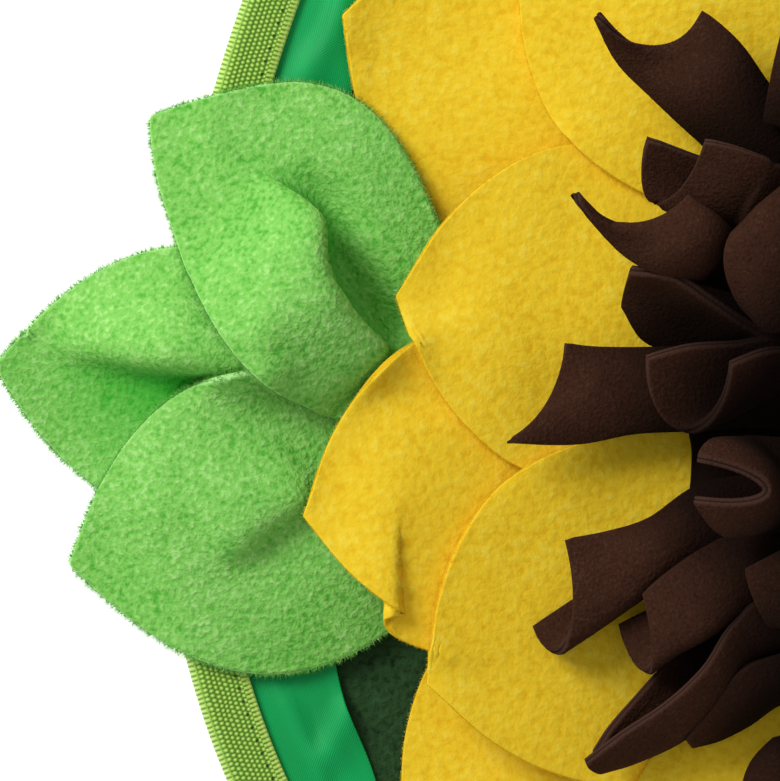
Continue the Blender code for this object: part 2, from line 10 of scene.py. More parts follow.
import bpy
import numpy as np
from bpy.props import BoolProperty, FloatProperty, FloatVectorProperty, IntProperty, PointerProperty
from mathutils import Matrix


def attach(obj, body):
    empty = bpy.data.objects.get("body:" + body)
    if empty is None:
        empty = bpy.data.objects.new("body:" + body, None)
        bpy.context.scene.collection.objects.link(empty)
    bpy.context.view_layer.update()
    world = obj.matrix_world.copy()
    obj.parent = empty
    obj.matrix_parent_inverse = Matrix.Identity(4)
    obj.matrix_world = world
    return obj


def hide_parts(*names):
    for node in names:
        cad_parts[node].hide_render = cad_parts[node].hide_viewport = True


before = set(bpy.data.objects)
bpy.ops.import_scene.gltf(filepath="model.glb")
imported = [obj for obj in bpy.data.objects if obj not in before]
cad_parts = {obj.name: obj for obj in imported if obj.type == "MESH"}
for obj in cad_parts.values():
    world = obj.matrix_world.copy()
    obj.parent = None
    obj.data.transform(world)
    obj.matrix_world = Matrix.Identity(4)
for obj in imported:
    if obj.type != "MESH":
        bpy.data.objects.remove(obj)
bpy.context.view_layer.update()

bl_info = {
    "name": "Sunflower Snuffle Mat",
    "version": (1, 0, 0),
    "blender": (4, 5, 0),
    "location": "3D View > Sidebar > Snuffle Mat",
    "description": "Lays the cloth of a sunflower snuffle mat piece by piece",
    "category": "Object",
}

MM = 0.001

# Fineness of the flat cloths: points on each side of the disc's grid, and points across and round the ring.
BASE_POINTS = 91
SATIN_POINTS = (18, 720)
TAPE_POINTS = (27, 560)
# Fineness of petals and leaves: millimetres between two points, and loose fibres in a millimetre of edge.
NEAR_PETAL, FAR_PETAL, LEAF = (1.4, 6.5), (2.8, 2.5), (1.1, 16)
# Fineness of strips: points along and across, and loose fibres in a millimetre of edge.
OWN_STRIP, TURNED_STRIP, PLACED_STRIP, LOOSE_STRIP = (58, 19, 1.7), (40, 13, 1.0), (44, 15, 0.7), (30, 9, 0.7)
# Loose fibres along the cut edges: their length, half their thickness at the root, and the lowest place
# that they grow from, as a share of half the cloth's thickness.
FUZZ = {
    "petal": dict(length=0.8, thick=0.05, lowest=0.0),
    "leaf": dict(length=1.8, thick=0.08, lowest=-0.9),
    "strip": dict(length=0.5, thick=0.07, lowest=-0.9),
}

# Room between disc, satin and tape.
LAYER_GAP = 0.32
# How the tape holds the disc: how far its edge stops short of the fold, how wide it is pressed, over what
# width it slopes down to that, and how much thinner it gets.
HELD_EDGE = dict(inset=2.4, width=10.2, slope=1.2, thinner=1.42)
# The satin: how far it stops short of the fold, how far past the tape's lip it is held, over what width it
# comes loose, how high it ripples, and which share of its CAD solid's thickness the cloth fills.
SATIN = dict(inset=2.8, past_lip=1.5, loosens=14, ripple=1.1, fill=0.6)

# Half width of a cut piece along its length: share of the length from the foot, share of the half width.
PETAL_CUT = (
    (0.00, 0.50), (0.18, 0.76), (0.36, 0.93), (0.54, 1.00), (0.70, 0.94), (0.82, 0.74), (0.92, 0.43), (1.00, 0.004),
)
LEAF_CUT = (
    (0.00, 0.34), (0.14, 0.56), (0.28, 0.80), (0.42, 0.96), (0.56, 1.00), (0.68, 0.92), (0.79, 0.73), (0.88, 0.48),
    (0.95, 0.22), (1.00, 0.004),
)

# Petals from the one that points along -X and on round the flower. turn: degrees off even spacing;
# reach: longer or shorter; lean: degrees that the axis is off the radius; crown: how high the middle stands.
PETAL_COLUMNS = ("turn", "reach", "lean", "crown")
OUTER_PETALS = (
    (-4.8, -0.4, 1.0, 1.2),
    (2.0, 0.0, 4.0, 2.4),
    (-1.5, 1.5, -3.0, 3.0),
    (1.0, -2.0, 2.0, 2.7),
    (0.5, 0.5, -4.0, 2.1),
    (-2.0, 2.0, 3.0, 3.0),
    (1.5, -1.0, 0.0, 2.4),
    (0.0, 1.0, -2.0, 2.7),
    (-1.0, -1.5, 4.0, 2.4),
    (2.5, 0.0, -3.0, 3.0),
    (-0.5, 2.0, 1.0, 2.1),
    (-2.5, -0.5, -1.0, 2.7),
    (1.0, 1.0, 3.0, 2.4),
    (-0.7, 3.0, -3.0, 2.4),
)
INNER_PETALS = (
    (0.0, -2.0, 0.0, 5.0),
    (0.3, 2.5, 0.0, 2.7),
    (0.0, 0.5, -2.0, 3.3),
    (-1.5, -1.5, 3.0, 3.0),
    (1.5, 1.0, -4.0, 3.6),
    (0.0, 0.0, 2.0, 2.7),
    (-2.0, 2.0, -1.0, 3.3),
    (1.0, -1.0, 4.0, 3.0),
    (2.0, 0.5, -3.0, 3.6),
    (-1.0, -2.0, 1.0, 3.0),
    (0.5, 1.5, -5.0, 3.3),
    (-0.5, 0.0, 3.0, 2.7),
    (1.5, -1.0, -2.0, 3.3),
    (0.8, -3.4, 0.0, 2.4),
)
PETALS_IN_ROW = 14
PETAL_ROWS = {
    "outer": dict(petals=OUTER_PETALS, first_angle=-3.8, reach=198.5, seed=0, rests_on="satin_collar"),
    "inner": dict(petals=INNER_PETALS, first_angle=4.9, reach=179.5, seed=100, rests_on="outer_petal_01_fleece"),
}
# Petals on the leaves' side, which are seen closest and so are made finest.
NEAR_PETALS = (1, 2, 3, 13, 14)

# Leaves: where foot and tip lie, half the width that shows, and how far the middle line sways to the
# left of the way from foot to tip, near the foot and near the tip.
LEAVES = (
    dict(name="leaf_middle", foot=(-172, -6), tip=(-259, 1), half=27, sway=(0, 0), crown=2),
    dict(name="leaf_lower", foot=(-158, -17.7), tip=(-243.5, -39.6), half=30.5, sway=(2, 1), crown=5),
    dict(name="leaf_upper", foot=(-160, -5), tip=(-226.9, 51.9), half=26.5, sway=(3, -5), crown=4),
)
SWAY_AT = (0, 0.3, 0.75, 1)

# Folds sewn or pressed into a piece. line: from where the fold fades out to where it is full;
# height: of the ridge, negative for a trough; left, right: its width on each side of the line;
# over: how far the ridge is pushed to the left; back: how far it is pulled back along the line;
# under: how far the cloth on its left is tucked beneath it; shade: width of the painted shade in the
# fold beside it on its left, negative for its right; grow: how soon it is full; start: how gently it
# starts; drop: share of the height that it loses again at the end.
FOOT_OF_CREASE = ((-240, 6.2), (-229, 4.8), (-219, 3.8), (-206, 2.4))
FOLDS = {
    "leaf_upper": (
        dict(
            height=12, left=2.0, right=15, over=5.0, shade=6, drop=0.45,
            line=(
                (-205.5, 38.8), (-202.5, 35.5), (-198.8, 32), (-196.2, 27.9), (-196.2, 22.5), (-195.2, 17.0),
                (-191.5, 11.2), (-186.4, 6.4), (-182, 3),
            ),
        ),
        dict(
            height=-7.0, left=5, right=2.5,
            line=((-199, 40), (-193.5, 35.5), (-190.5, 30), (-189.8, 24), (-187.5, 19), (-182, 13.2), (-176.5, 8.6)),
        ),
    ),
    "leaf_middle": (
        dict(height=3.0, left=14, right=5, line=((-248, 7), *FOOT_OF_CREASE)),
        dict(height=10, left=12, right=3.0, over=-2.0, shade=-20, grow=1.2, line=((-247, 7), *FOOT_OF_CREASE)),
    ),
    "leaf_lower": (
        dict(
            height=4.0, left=12, right=3.5, over=-1.5,
            line=((-215, -38), (-210, -34), (-205, -29.5), (-200, -26.5), (-197, -25)),
        ),
        dict(
            height=-1.6, left=3, right=9,
            line=((-212, -41), (-207, -37), (-202, -33), (-196, -29.5), (-190, -27)),
        ),
    ),
    "outer_petal_01": (
        dict(height=6.5, left=26, right=17, line=((-175, -6), (-176, -18), (-177, -31), (-178, -44), (-178, -58))),
        dict(
            height=2.6, left=3, right=20, over=2.6, back=2, under=5, grow=0.9, start=2,
            line=((-176.5, -22), (-177.5, -32), (-178, -44), (-178, -58)),
        ),
    ),
    "collar": (
        dict(height=2.6, left=1.5, right=4.5, line=((-206, -58), (-203, -64), (-199, -69), (-196, -76), (-191, -88))),
        dict(height=2.0, left=4.5, right=1.6, line=((-186, -64), (-188, -71), (-192, -79))),
        dict(height=2.4, left=1.6, right=5.0, line=((-203, 54), (-197, 62), (-191, 70), (-188, 80))),
    ),
}

# The root of a strip: ring radius, and how high it stands where it starts to bend outwards.
RINGS = {
    "outer": dict(radius=75.0, rise=19.0),
    "middle": dict(radius=61.0, rise=27.0),
    "inner": dict(radius=46.0, rise=33.0),
}
# How far it leans out on its way up, and how high its foot is.
RING_LEAN = 0.5
STRIP_FOOT_HEIGHT = 3.6

# Strips: ring and angle of the root; then rows along the strip, each with one long edge (x, y, z), the
# middle line (x, y, z) and the other long edge (x, y, z). The last row is the cut at the free end.
STRIPS = (
    dict(ring="outer", angle=25, rows=(
        (-92.7, 46.8, 27, -98.3, 42.7, 29, -103.7, 37.8, 24),
        (-101.3, 56.5, 28, -108.5, 51.8, 30, -115.9, 48, 24),
        (-107, 64.7, 28, -115.6, 57.9, 30, -125.1, 56.7, 24),
        (-111, 69.2, 27, -119.9, 62.6, 28, -132.1, 63.5, 27),
        (-114.8, 72.5, 26, -124.4, 65.1, 28, -136.4, 71.4, 35),
    )),
    dict(ring="outer", angle=9.5, rows=(
        (-97.7, 7.2, 36, -97.7, 6.6, 29, -97.9, 5.9, 22),
        (-105.4, 8.6, 38, -107.5, 7.2, 30, -109.5, 5.1, 22),
        (-113.5, 13.8, 38, -115.5, 10.7, 29, -119.3, 4.7, 22),
        (-121.5, 18.9, 38, -123.2, 14.3, 29, -126.4, 6.7, 22),
        (-129.5, 20.1, 36, -130.1, 17.4, 29, -130.6, 13.4, 24),
    )),
    dict(ring="outer", angle=-5, rows=(
        (-101.2, 3.8, 26, -101.2, -3.5, 27, -101.1, -11, 25),
        (-115.4, 4.2, 26, -115.5, -3.9, 28, -115.4, -11.4, 25),
        (-129.6, 4, 25, -129.2, -3.9, 27, -128.5, -12, 24),
        (-137.3, 4.2, 25, -137.8, -4.9, 27, -140.1, -14.1, 24),
        (-142.4, 5.2, 26, -146.1, -6.9, 26, -154.2, -14.2, 29),
    )),
    dict(ring="outer", angle=-19.5, rows=(
        (-106.3, -21.8, 27, -105, -28.2, 29, -103.3, -35.4, 27),
        (-116.5, -24.2, 28, -114.5, -32.3, 30, -112.3, -40.9, 26),
        (-125.6, -30.5, 28, -124.4, -41.4, 29, -124.3, -40.6, 20),
        (-134.1, -33.1, 27, -132.9, -48.2, 26, -134.9, -43.7, 18),
        (-142.4, -34.5, 27, -141.7, -53.9, 24, -148.8, -52.3, 19),
    )),
    dict(ring="outer", angle=-34, rows=(
        (-101.1, -44.6, 24, -95.1, -54.7, 26, -98.6, -46.3, 34),
        (-113.2, -51.7, 22, -106.2, -60.4, 24, -108.3, -50.8, 34),
        (-122.3, -60.5, 21, -112.4, -67.4, 22, -114.5, -60.1, 33),
        (-128.2, -67.1, 20, -119.2, -74.2, 20, -122.1, -67.5, 31),
        (-133.1, -72.8, 20, -128.4, -78.8, 19, -131.3, -73.9, 28),
        (-136.3, -77.7, 20, -135.1, -80.8, 20, -138.3, -79.5, 25),
    )),
    dict(ring="outer", angle=-49, rows=(
        (-87.3, -54.5, 31, -86.1, -59.7, 28, -86.7, -67, 22),
        (-99.4, -57.7, 31, -97.2, -62.7, 28, -97.8, -66.5, 20),
        (-107.5, -61, 30, -105.2, -66.9, 26, -105.9, -71.6, 19),
        (-113, -68.2, 27, -111.6, -71.4, 24, -111.6, -74.5, 18),
        (-118, -74.5, 24, -117.3, -75.2, 22, -116.7, -75.8, 18),
    )),
    dict(ring="middle", angle=31, rows=(
        (-96, 40.3, 42, -100.7, 29.4, 36, -95.5, 34.5, 33),
        (-103.2, 42.2, 45, -108.8, 30, 36, -104.6, 38.9, 34),
        (-109.2, 44.2, 46, -116.8, 31.4, 35, -115.8, 42.5, 36),
        (-115, 45.6, 46, -123.8, 33.9, 33, -126.4, 46.2, 40),
    )),
    dict(ring="middle", angle=12, rows=(
        (-106.4, 24.5, 30, -108.6, 20.8, 32, -111, 17.4, 28),
        (-110, 27.5, 40, -113.1, 23.2, 42, -116.8, 18.9, 36),
        (-113.7, 30.8, 44, -119.2, 25.2, 46, -125, 20.7, 38),
        (-116.4, 32.8, 45, -125.2, 28.6, 44, -132.4, 25.3, 38),
        (-118.6, 34.6, 45, -130.1, 28.4, 42, -141.3, 35.2, 46),
    )),
    dict(ring="middle", angle=-6, rows=(
        (-97.8, 6.2, 38, -95.6, -1.9, 36, -92.7, 1.7, 38),
        (-108.9, 5.2, 39, -104.2, -4.9, 34, -98, 3.7, 43),
        (-118, 4.6, 40, -111.2, -8.7, 33, -103.2, 3.7, 46),
        (-126.3, 2.5, 41, -118.5, -11.8, 33, -109.8, 1.3, 46),
    )),
    dict(ring="middle", angle=-24, rows=(
        (-100.7, -14, 36, -95.6, -24.1, 36, -97.7, -32.1, 36),
        (-107.9, -14.2, 40, -98.9, -24, 41, -103.8, -32.1, 38),
        (-113.9, -14.7, 45, -100.1, -24.3, 46, -111.8, -32.0, 43),
        (-116.7, -17.3, 51, -103.0, -23.9, 52, -117.2, -26.0, 49),
    )),
    dict(ring="middle", angle=-42, rows=(
        (-99.5, -30.2, 33, -97.6, -38.2, 34, -95.4, -44.4, 31),
        (-108.6, -33.2, 33, -106.1, -41.8, 35, -103.9, -48.4, 31),
        (-116.7, -37.5, 33, -114.7, -51.4, 34, -114.4, -48.5, 27),
        (-122.9, -41.9, 32, -121.2, -56.6, 30, -123, -48.3, 23),
        (-126.7, -45.2, 31, -125.4, -60.3, 27, -131.3, -51.8, 21),
    )),
    dict(ring="inner", angle=19, rows=(
        (-80.2, 40.2, 47, -78.4, 31.1, 49, -80.2, 21.7, 46),
        (-94.4, 39.1, 49, -93.5, 26.1, 51, -93.2, 14.1, 46),
        (-102.4, 34.1, 49, -103.4, 22.1, 50, -101.1, 8.1, 44),
        (-108.3, 27.7, 47, -110.9, 21.7, 47, -107.1, 13.2, 43),
    )),
    dict(ring="inner", angle=-30, rows=(
        (-81.9, -30, 42, -80, -38, 43, -77.8, -46.1, 40),
        (-96, -35, 42, -93, -43, 43, -90.8, -51.2, 39),
        (-106.6, -40.1, 41, -104.7, -45.7, 40, -101.7, -50.7, 36),
    )),
    dict(ring="middle", angle=50.5, rows=(
        (-88.5, 66.8, 38, -90.2, 58.5, 39, -85.6, 46.5, 36),
        (-92.8, 69.6, 39, -94.9, 60.5, 40, -95.6, 48.6, 36),
        (-98.9, 67.7, 37, -100.7, 60.2, 37, -102.4, 50.6, 34),
    )),
)
# These strips repeat a strip of the table, turned about the middle of the flower by so many degrees.
STRIP_COPIES = (
    dict(of=3, turn=85),
    dict(of=1, turn=149),
    dict(of=4, turn=140.5),
    dict(of=3, turn=190),
    dict(of=5, turn=196),
    dict(of=1, turn=289),
    dict(of=3, turn=293),
    dict(of=12, turn=95),
    dict(of=13, turn=170),
    dict(of=12, turn=250),
    dict(of=8, turn=150),
    dict(of=8, turn=230),
)
# All the strips that the CAD part has, each with its turn.
PLACED = [(strip, 0) for strip in STRIPS] + [(STRIPS[copy["of"] - 1], copy["turn"]) for copy in STRIP_COPIES]

# More strips that have their own places, in the same form.
MORE_STRIPS = (
    dict(ring="outer", angle=-63, rows=(
        (-62.6, -70.9, 26, -59.6, -78.0, 27, -57.4, -85.2, 24),
        (-84.9, -74.6, 26, -84.0, -82.0, 27, -82.7, -90.4, 23),
        (-98.0, -74.7, 24, -100.1, -82.1, 25, -96.8, -90.5, 21),
        (-102.0, -77.6, 22, -105.4, -82.3, 22, -106.0, -87.5, 20),
    )),
    dict(ring="outer", angle=-11, rows=(
        (-95, -9, 17, -96, -14, 18, -95, -20, 17),
        (-108, -11, 18, -110, -17, 18, -108, -24, 17),
        (-117, -13, 20, -116, -20, 15, -117, -26, 19),
    )),
    dict(ring="outer", angle=3, rows=(
        (-95, 20, 17, -96, 12, 18, -95, 4, 17),
        (-110, 21, 18, -113, 13, 17, -110, 5, 16),
        (-120, 17, 18, -122, 11, 15, -118, 5, 15),
    )),
    dict(ring="outer", angle=18, rows=(
        (-88, 34, 18, -91, 27, 18, -92, 20, 17),
        (-102, 38, 19, -107, 30, 18, -108, 22, 17),
        (-109, 39, 20, -115, 32, 17, -117, 24, 17),
    )),
    dict(ring="outer", angle=33, rows=(
        (-80, 54, 19, -86, 48, 19, -90, 41, 18),
        (-92, 61, 20, -97, 54, 20, -101, 47, 18),
    )),
    dict(ring="outer", angle=-27, rows=(
        (-92, -33, 17, -92, -40, 18, -87, -47, 17),
        (-107, -40, 18, -105, -48, 18, -99, -55, 16),
        (-116, -45, 18, -113, -52, 16, -107, -59, 15),
    )),
    dict(ring="outer", angle=-42, rows=(
        (-82, -51, 18, -80, -57, 19, -75, -63, 17),
        (-96, -58, 18, -93, -65, 18, -86, -71, 16),
    )),
)

# The rest of the tuft, ring by ring: root radius, how many would fill the ring, how high a strip stands
# before it bends, how far it reaches outwards, how high its free end is, and how near another strip of
# the ring may stand, in degrees.
TUFT_RINGS = (
    dict(name="tuft_outer", radius=72, count=24, first=4, rise=17, reach=52, end=21, apart=12),
    dict(name="tuft_middle", radius=57, count=24, first=0, rise=27, reach=48, end=33, apart=9),
    dict(name="tuft_inner", radius=41, count=18, first=7, rise=35, reach=40, end=42, apart=12),
    dict(name="tuft_centre", radius=24, count=12, first=12, rise=41, reach=33, end=50, apart=0),
    dict(name="tuft_heart", radius=8, count=4, first=40, rise=43, reach=22, end=53, apart=0),
)

# How near the floor a loose fibre comes.
FLOOR_GAP = 0.05


def both_sides(*upper):
    """Rounding of a cut edge from its upper half."""
    return (*upper, *((out, -height) for out, height in reversed(upper[:-1])))


# Rounding of a cut edge: how far it stands out and how high, both as shares of half the thickness.
PLAIN_EDGE = both_sides((0.38, 0.92), (0.70, 0.66), (0.88, 0.30), (0.92, 0.0))
CUT_EDGE = both_sides((0.10, 0.97), (0.22, 0.80), (0.28, 0.40), (0.28, 0.0))
SPLIT_EDGE = both_sides((0.22, 0.94), (0.42, 0.70), (0.46, 0.30), (0.30, 0.0))

# Metres: where the large lamp hangs and aims, the middle of the view, and the height that the view width is for.
LAMP_PLACE = (-1.15, 0.80, 1.05)
LAMP_AIM = (-0.17, 0.0, 0.0)
VIEW_MIDDLE = (-0.17835, -0.0039975)
VIEW_LEVEL = 0.012


# ---------------------------------------------------------------------------------------------- sizes


def length_property(name, default, description):
    """A size that the user can change, in metres."""
    return FloatProperty(name=name, description=description, default=default, unit="LENGTH")


def colour_property(name, default):
    """A colour that the user can change."""
    return FloatVectorProperty(
        name=name, description=f"Colour of the {name.lower()}", default=default, size=3, min=0, max=1, subtype="COLOR"
    )


class SnuffleMatSizes(bpy.types.PropertyGroup):
    """Sizes of the mat's cloth."""

    mat_radius: length_property("Mat Radius", 0.2253, "Middle of the mat to the fold of the tape")
    rim_wave: length_property("Rim Wave", 0.003, "How far the rim stands out and in")
    rim_waves: IntProperty(name="Rim Waves", description="How many times it does so round the mat", default=5)
    base_thickness: length_property("Base Thickness", 0.003, "Thickness of the fleece disc")
    satin_thickness: length_property("Satin Thickness", 0.001, "Thickness of the satin band")
    satin_inner: length_property("Satin Inner Radius", 0.1985, "Free edge of the satin band")
    tape_thickness: length_property("Tape Thickness", 0.0011, "Thickness of the webbing tape")
    tape_lip: length_property("Tape Lip", 0.011, "Width of the tape that shows from above")
    fleece_thickness: length_property("Fleece Thickness", 0.002, "Thickness of petals and leaves")
    petal_length: length_property("Petal Length", 0.097, "Foot to tip of a petal")
    petal_half_width: length_property("Petal Half Width", 0.035, "Half the greatest width of a petal")
    strip_width: length_property("Strip Width", 0.018, "Width that a strip is cut to")
    strip_thickness: length_property("Strip Thickness", 0.0024, "Thickness of a strip")
    sewing_gap: length_property("Sewing Gap", 0.00034, "Room between two layers")
    stitch_length: length_property("Stitch Length", 0.0029, "Length of a stitch in the tape")


class SnuffleMatColours(bpy.types.PropertyGroup):
    """Colours of the mat's cloth."""

    petal_light: colour_property("Petal Pile Tips", (0.97, 0.73, 0.062))
    petal_middle: colour_property("Petal Pile", (0.93, 0.63, 0.026))
    petal_dark: colour_property("Petal Pile Roots", (0.84, 0.50, 0.014))
    leaf_light: colour_property("Leaf Pile Tips", (0.385, 0.765, 0.218))
    leaf_middle: colour_property("Leaf Pile", (0.226, 0.60, 0.107))
    leaf_dark: colour_property("Leaf Pile Roots", (0.085, 0.42, 0.040))
    # Painted shade: the deeper green that the leaves take in their folds.
    leaf_fold_shade: colour_property("Leaf Painted Fold Shade", (0.004, 0.34, 0.014))
    # Painted light: the lighter green of the leaves' cut edges, where the pile glows.
    leaf_edge_light: colour_property("Leaf Cut Edge", (0.43, 0.82, 0.28))
    strip_light: colour_property("Strip Pile Tips", (0.086, 0.038, 0.022))
    strip_middle: colour_property("Strip Pile", (0.047, 0.018, 0.0098))
    strip_dark: colour_property("Strip Pile Roots", (0.018, 0.0065, 0.0045))
    # Painted highlight: the strips' cut edges are lighter.
    strip_edge_highlight: colour_property("Strip Cut Edge", (0.058, 0.027, 0.019))
    base_light: colour_property("Base Pile Tips", (0.030, 0.092, 0.034))
    base_middle: colour_property("Base Pile", (0.025, 0.064, 0.022))
    base_dark: colour_property("Base Pile Roots", (0.006, 0.022, 0.009))
    # Besides the weave, these two tones give the satin's painted light and shade of small folds.
    satin_threads_and_fold_light: colour_property("Satin Threads", (0.004, 0.47, 0.120))
    satin_gaps_and_fold_shade: colour_property("Satin Gaps", (0.001, 0.28, 0.062))
    # Painted light: the tape's thread tops carry a painted highlight and its gaps a painted shade.
    tape_top_highlight: colour_property("Tape Thread Tops", (0.55, 0.78, 0.15))
    tape_middle: colour_property("Tape Threads", (0.29, 0.56, 0.040))
    tape_gap_shade: colour_property("Tape Gaps", (0.085, 0.25, 0.010))


class SnuffleMatStage(bpy.types.PropertyGroup):
    """The floor, the lamps and the camera."""

    floor_colour: FloatVectorProperty(
        name="Floor Colour", description="Colour of the floor", default=(0.95, 0.95, 0.95), size=3, subtype="COLOR"
    )
    floor_glow: FloatProperty(name="Floor Glow", description="How much light the floor gives", default=0.55)
    room_light: FloatProperty(name="Room Light", description="Strength of the light all round", default=0.41)
    lamp_power: FloatProperty(name="Lamp Power", description="Power of the large lamp", default=20.5, unit="POWER")
    camera_height: length_property("Camera Height", 1.512, "Height of the camera above the floor")
    view_width: length_property("View Width", 0.1599, "Width of the mat that the picture takes in")


# ---------------------------------------------------------------------------------------- cloth on grids


def from_minus_x(radius, angle):
    """Plan position at an angle from -X, positive towards +Y."""
    turn = math.radians(angle)
    return np.array((-radius * math.cos(turn), radius * math.sin(turn)))


def smooth_curve(values, at):
    """The smooth curve through rows of values, read at places counted in rows."""
    values = np.asarray(values, float)
    padded = np.concatenate((2 * values[:1] - values[1:2], values, 2 * values[-1:] - values[-2:-1]))
    i = np.clip(np.floor(at).astype(int), 0, len(values) - 2)
    t = (at - i)[:, None]
    before, here, there, after = (padded[i + k] for k in range(4))
    return 0.5 * (
        2 * here
        + (there - before) * t
        + (2 * before - 5 * here + 4 * there - after) * t**2
        + (3 * here - before - 3 * there + after) * t**3
    )


def unit(vectors):
    """Vectors brought to a length of one."""
    return vectors / np.maximum(np.linalg.norm(vectors, axis=-1, keepdims=True), 1e-12)


def lengths_along(points):
    """How far along a line of points each of them lies."""
    return np.concatenate(([0], np.linalg.norm(np.diff(points, axis=0), axis=1).cumsum()))


def uneven(plan, seed, size, height):
    """Slow swells over a plan, a different set for each seed."""
    random = np.random.default_rng(seed)
    swell = np.zeros(plan.shape[:-1])
    for _ in range(6):
        heading = random.uniform(0, 2 * math.pi)
        pitch = size * random.uniform(0.7, 1.6)
        wave = plan @ np.array((math.cos(heading), math.sin(heading))) / pitch
        swell += np.sin(2 * math.pi * wave + random.uniform(0, 2 * math.pi))
    return height * swell / 3


def line_distance(points, line):
    """Distance of plan points to a line, positive to its left, and how far along it they lie, 0 to 1."""
    line = smooth_curve(line, np.linspace(0, len(line) - 1, 4 * len(line)))
    starts = lengths_along(line)
    nearest = np.full(points.shape[:-1], np.inf)
    side = np.ones_like(nearest)
    along = np.zeros_like(nearest)
    for begin, end, start in zip(line, line[1:], starts):
        step = end - begin
        length = np.linalg.norm(step)
        share = np.clip((points - begin) @ step / length**2, 0, 1)
        off = points - begin - share[..., None] * step
        distance = np.linalg.norm(off, axis=-1)
        closer = distance < nearest
        nearest = np.where(closer, distance, nearest)
        side = np.where(closer, np.sign(step[0] * off[..., 1] - step[1] * off[..., 0] + 1e-9), side)
        along = np.where(closer, (start + share * length) / starts[-1], along)
    return nearest * side, along


def fold_relief(plan, folds):
    """Height that the folds add, how far they push the cloth aside, and how much painted shade they lay in the fold.
    """
    relief = np.zeros(plan.shape[:-1])
    hollow = np.zeros(plan.shape[:-1])
    push = np.zeros(plan.shape)
    at_start, beyond_end, tuck_start, tuck_width = 0.08, 3, 1.2, 14
    for fold in folds:
        distance, along = line_distance(plan, fold["line"])
        width = np.where(distance > 0, fold["left"], fold["right"])
        fade = np.sin(np.clip(fold.get("grow", 2) * along + at_start, 0, 1) * math.pi / 2)
        ahead = unit(np.subtract(fold["line"][-1], fold["line"][0]))
        to_left = np.array((-ahead[1], ahead[0]))
        beyond = np.maximum((plan - fold["line"][-1]) @ ahead, 0)
        fade = fade ** fold.get("start", 1) * np.exp(-((beyond / beyond_end) ** 2))
        fade = fade * (1 - fold.get("drop", 0) * np.clip(3 * along - 2, 0, 1))
        bump = fade * np.exp(-((distance / width) ** 2))
        tuck = fade * np.clip(distance / tuck_start, 0, 1) * np.exp(-((distance / tuck_width) ** 2))
        relief += fold["height"] * bump
        push += (fold.get("over", 0) * bump)[..., None] * to_left
        push -= (fold.get("back", 0) * bump)[..., None] * ahead
        push -= (fold.get("under", 0) * tuck)[..., None] * to_left
        if "shade" in fold:
            into = distance / fold["shade"]
            hollow = np.maximum(hollow, fade * np.clip(4 * into, 0, 1) * np.exp(-(into**2)))
    return relief, push, hollow


def blend_cells(heights, reach, blend):
    """Blends each cell with its neighbours, so many cells to each side."""
    for axis in (0, 1):
        heights = blend([np.roll(heights, step, axis) for step in range(-reach, reach + 1)], axis=0)
    return heights


class Pile:
    """Height of what already lies on the floor, millimetre by millimetre."""

    reach = 280
    spread = 4

    def __init__(self):
        self.heights = np.zeros((2 * self.reach, 2 * self.reach))
        self.near = self.soft = self.heights

    def read(self, heights, plan):
        """Heights between the cells."""
        place = plan + self.reach - 0.5
        low = np.clip(np.floor(place).astype(int), 0, 2 * self.reach - 2)
        share = place - low
        total = 0
        for step_x, weight_x in ((0, 1 - share[..., 0]), (1, share[..., 0])):
            for step_y, weight_y in ((0, 1 - share[..., 1]), (1, share[..., 1])):
                total = total + weight_x * weight_y * heights[low[..., 0] + step_x, low[..., 1] + step_y]
        return total

    def add(self, grid):
        """Raises the pile to a grid of points, and works out where the next sheet would lie."""
        for _ in range(2):
            grid = np.stack((grid[:-1], (grid[:-1] + grid[1:]) / 2), 1).reshape(-1, *grid.shape[1:])
            grid = np.swapaxes(grid, 0, 1)
        index = (grid[..., :2] + self.reach).astype(int)
        np.maximum.at(self.heights, (index[..., 0], index[..., 1]), grid[..., 2])
        # A sheet starts to rise before an edge and rounds it off.
        self.near = blend_cells(self.heights, 1, np.max)
        soft = blend_cells(self.heights, self.spread, np.max)
        for _ in range(2):
            soft = blend_cells(soft, 2, np.mean)
        self.soft = np.maximum(soft, self.near)


PILE = Pile()


def grid_normals(grid, closed=False):
    """Which way a sheet faces at each point of its grid, which may close round a ring."""
    if closed:
        ahead = (np.roll(grid, -1, 0) - np.roll(grid, 1, 0)) / 2
    else:
        ahead = np.gradient(grid, axis=0)
    return unit(np.cross(ahead, np.gradient(grid, axis=1)))


def edge_loops(rows, columns, closed):
    """Grid places along each edge, in the order that keeps the cloth on the same side."""
    down = [(i, columns - 1) for i in range(rows)]
    up = [(i, 0) for i in reversed(range(rows))]
    if closed:
        return [down, up]
    first = [(0, j) for j in range(columns - 1)]
    last = [(rows - 1, j) for j in reversed(range(1, columns))]
    return [first + down[:-1] + last + up[:-1]]


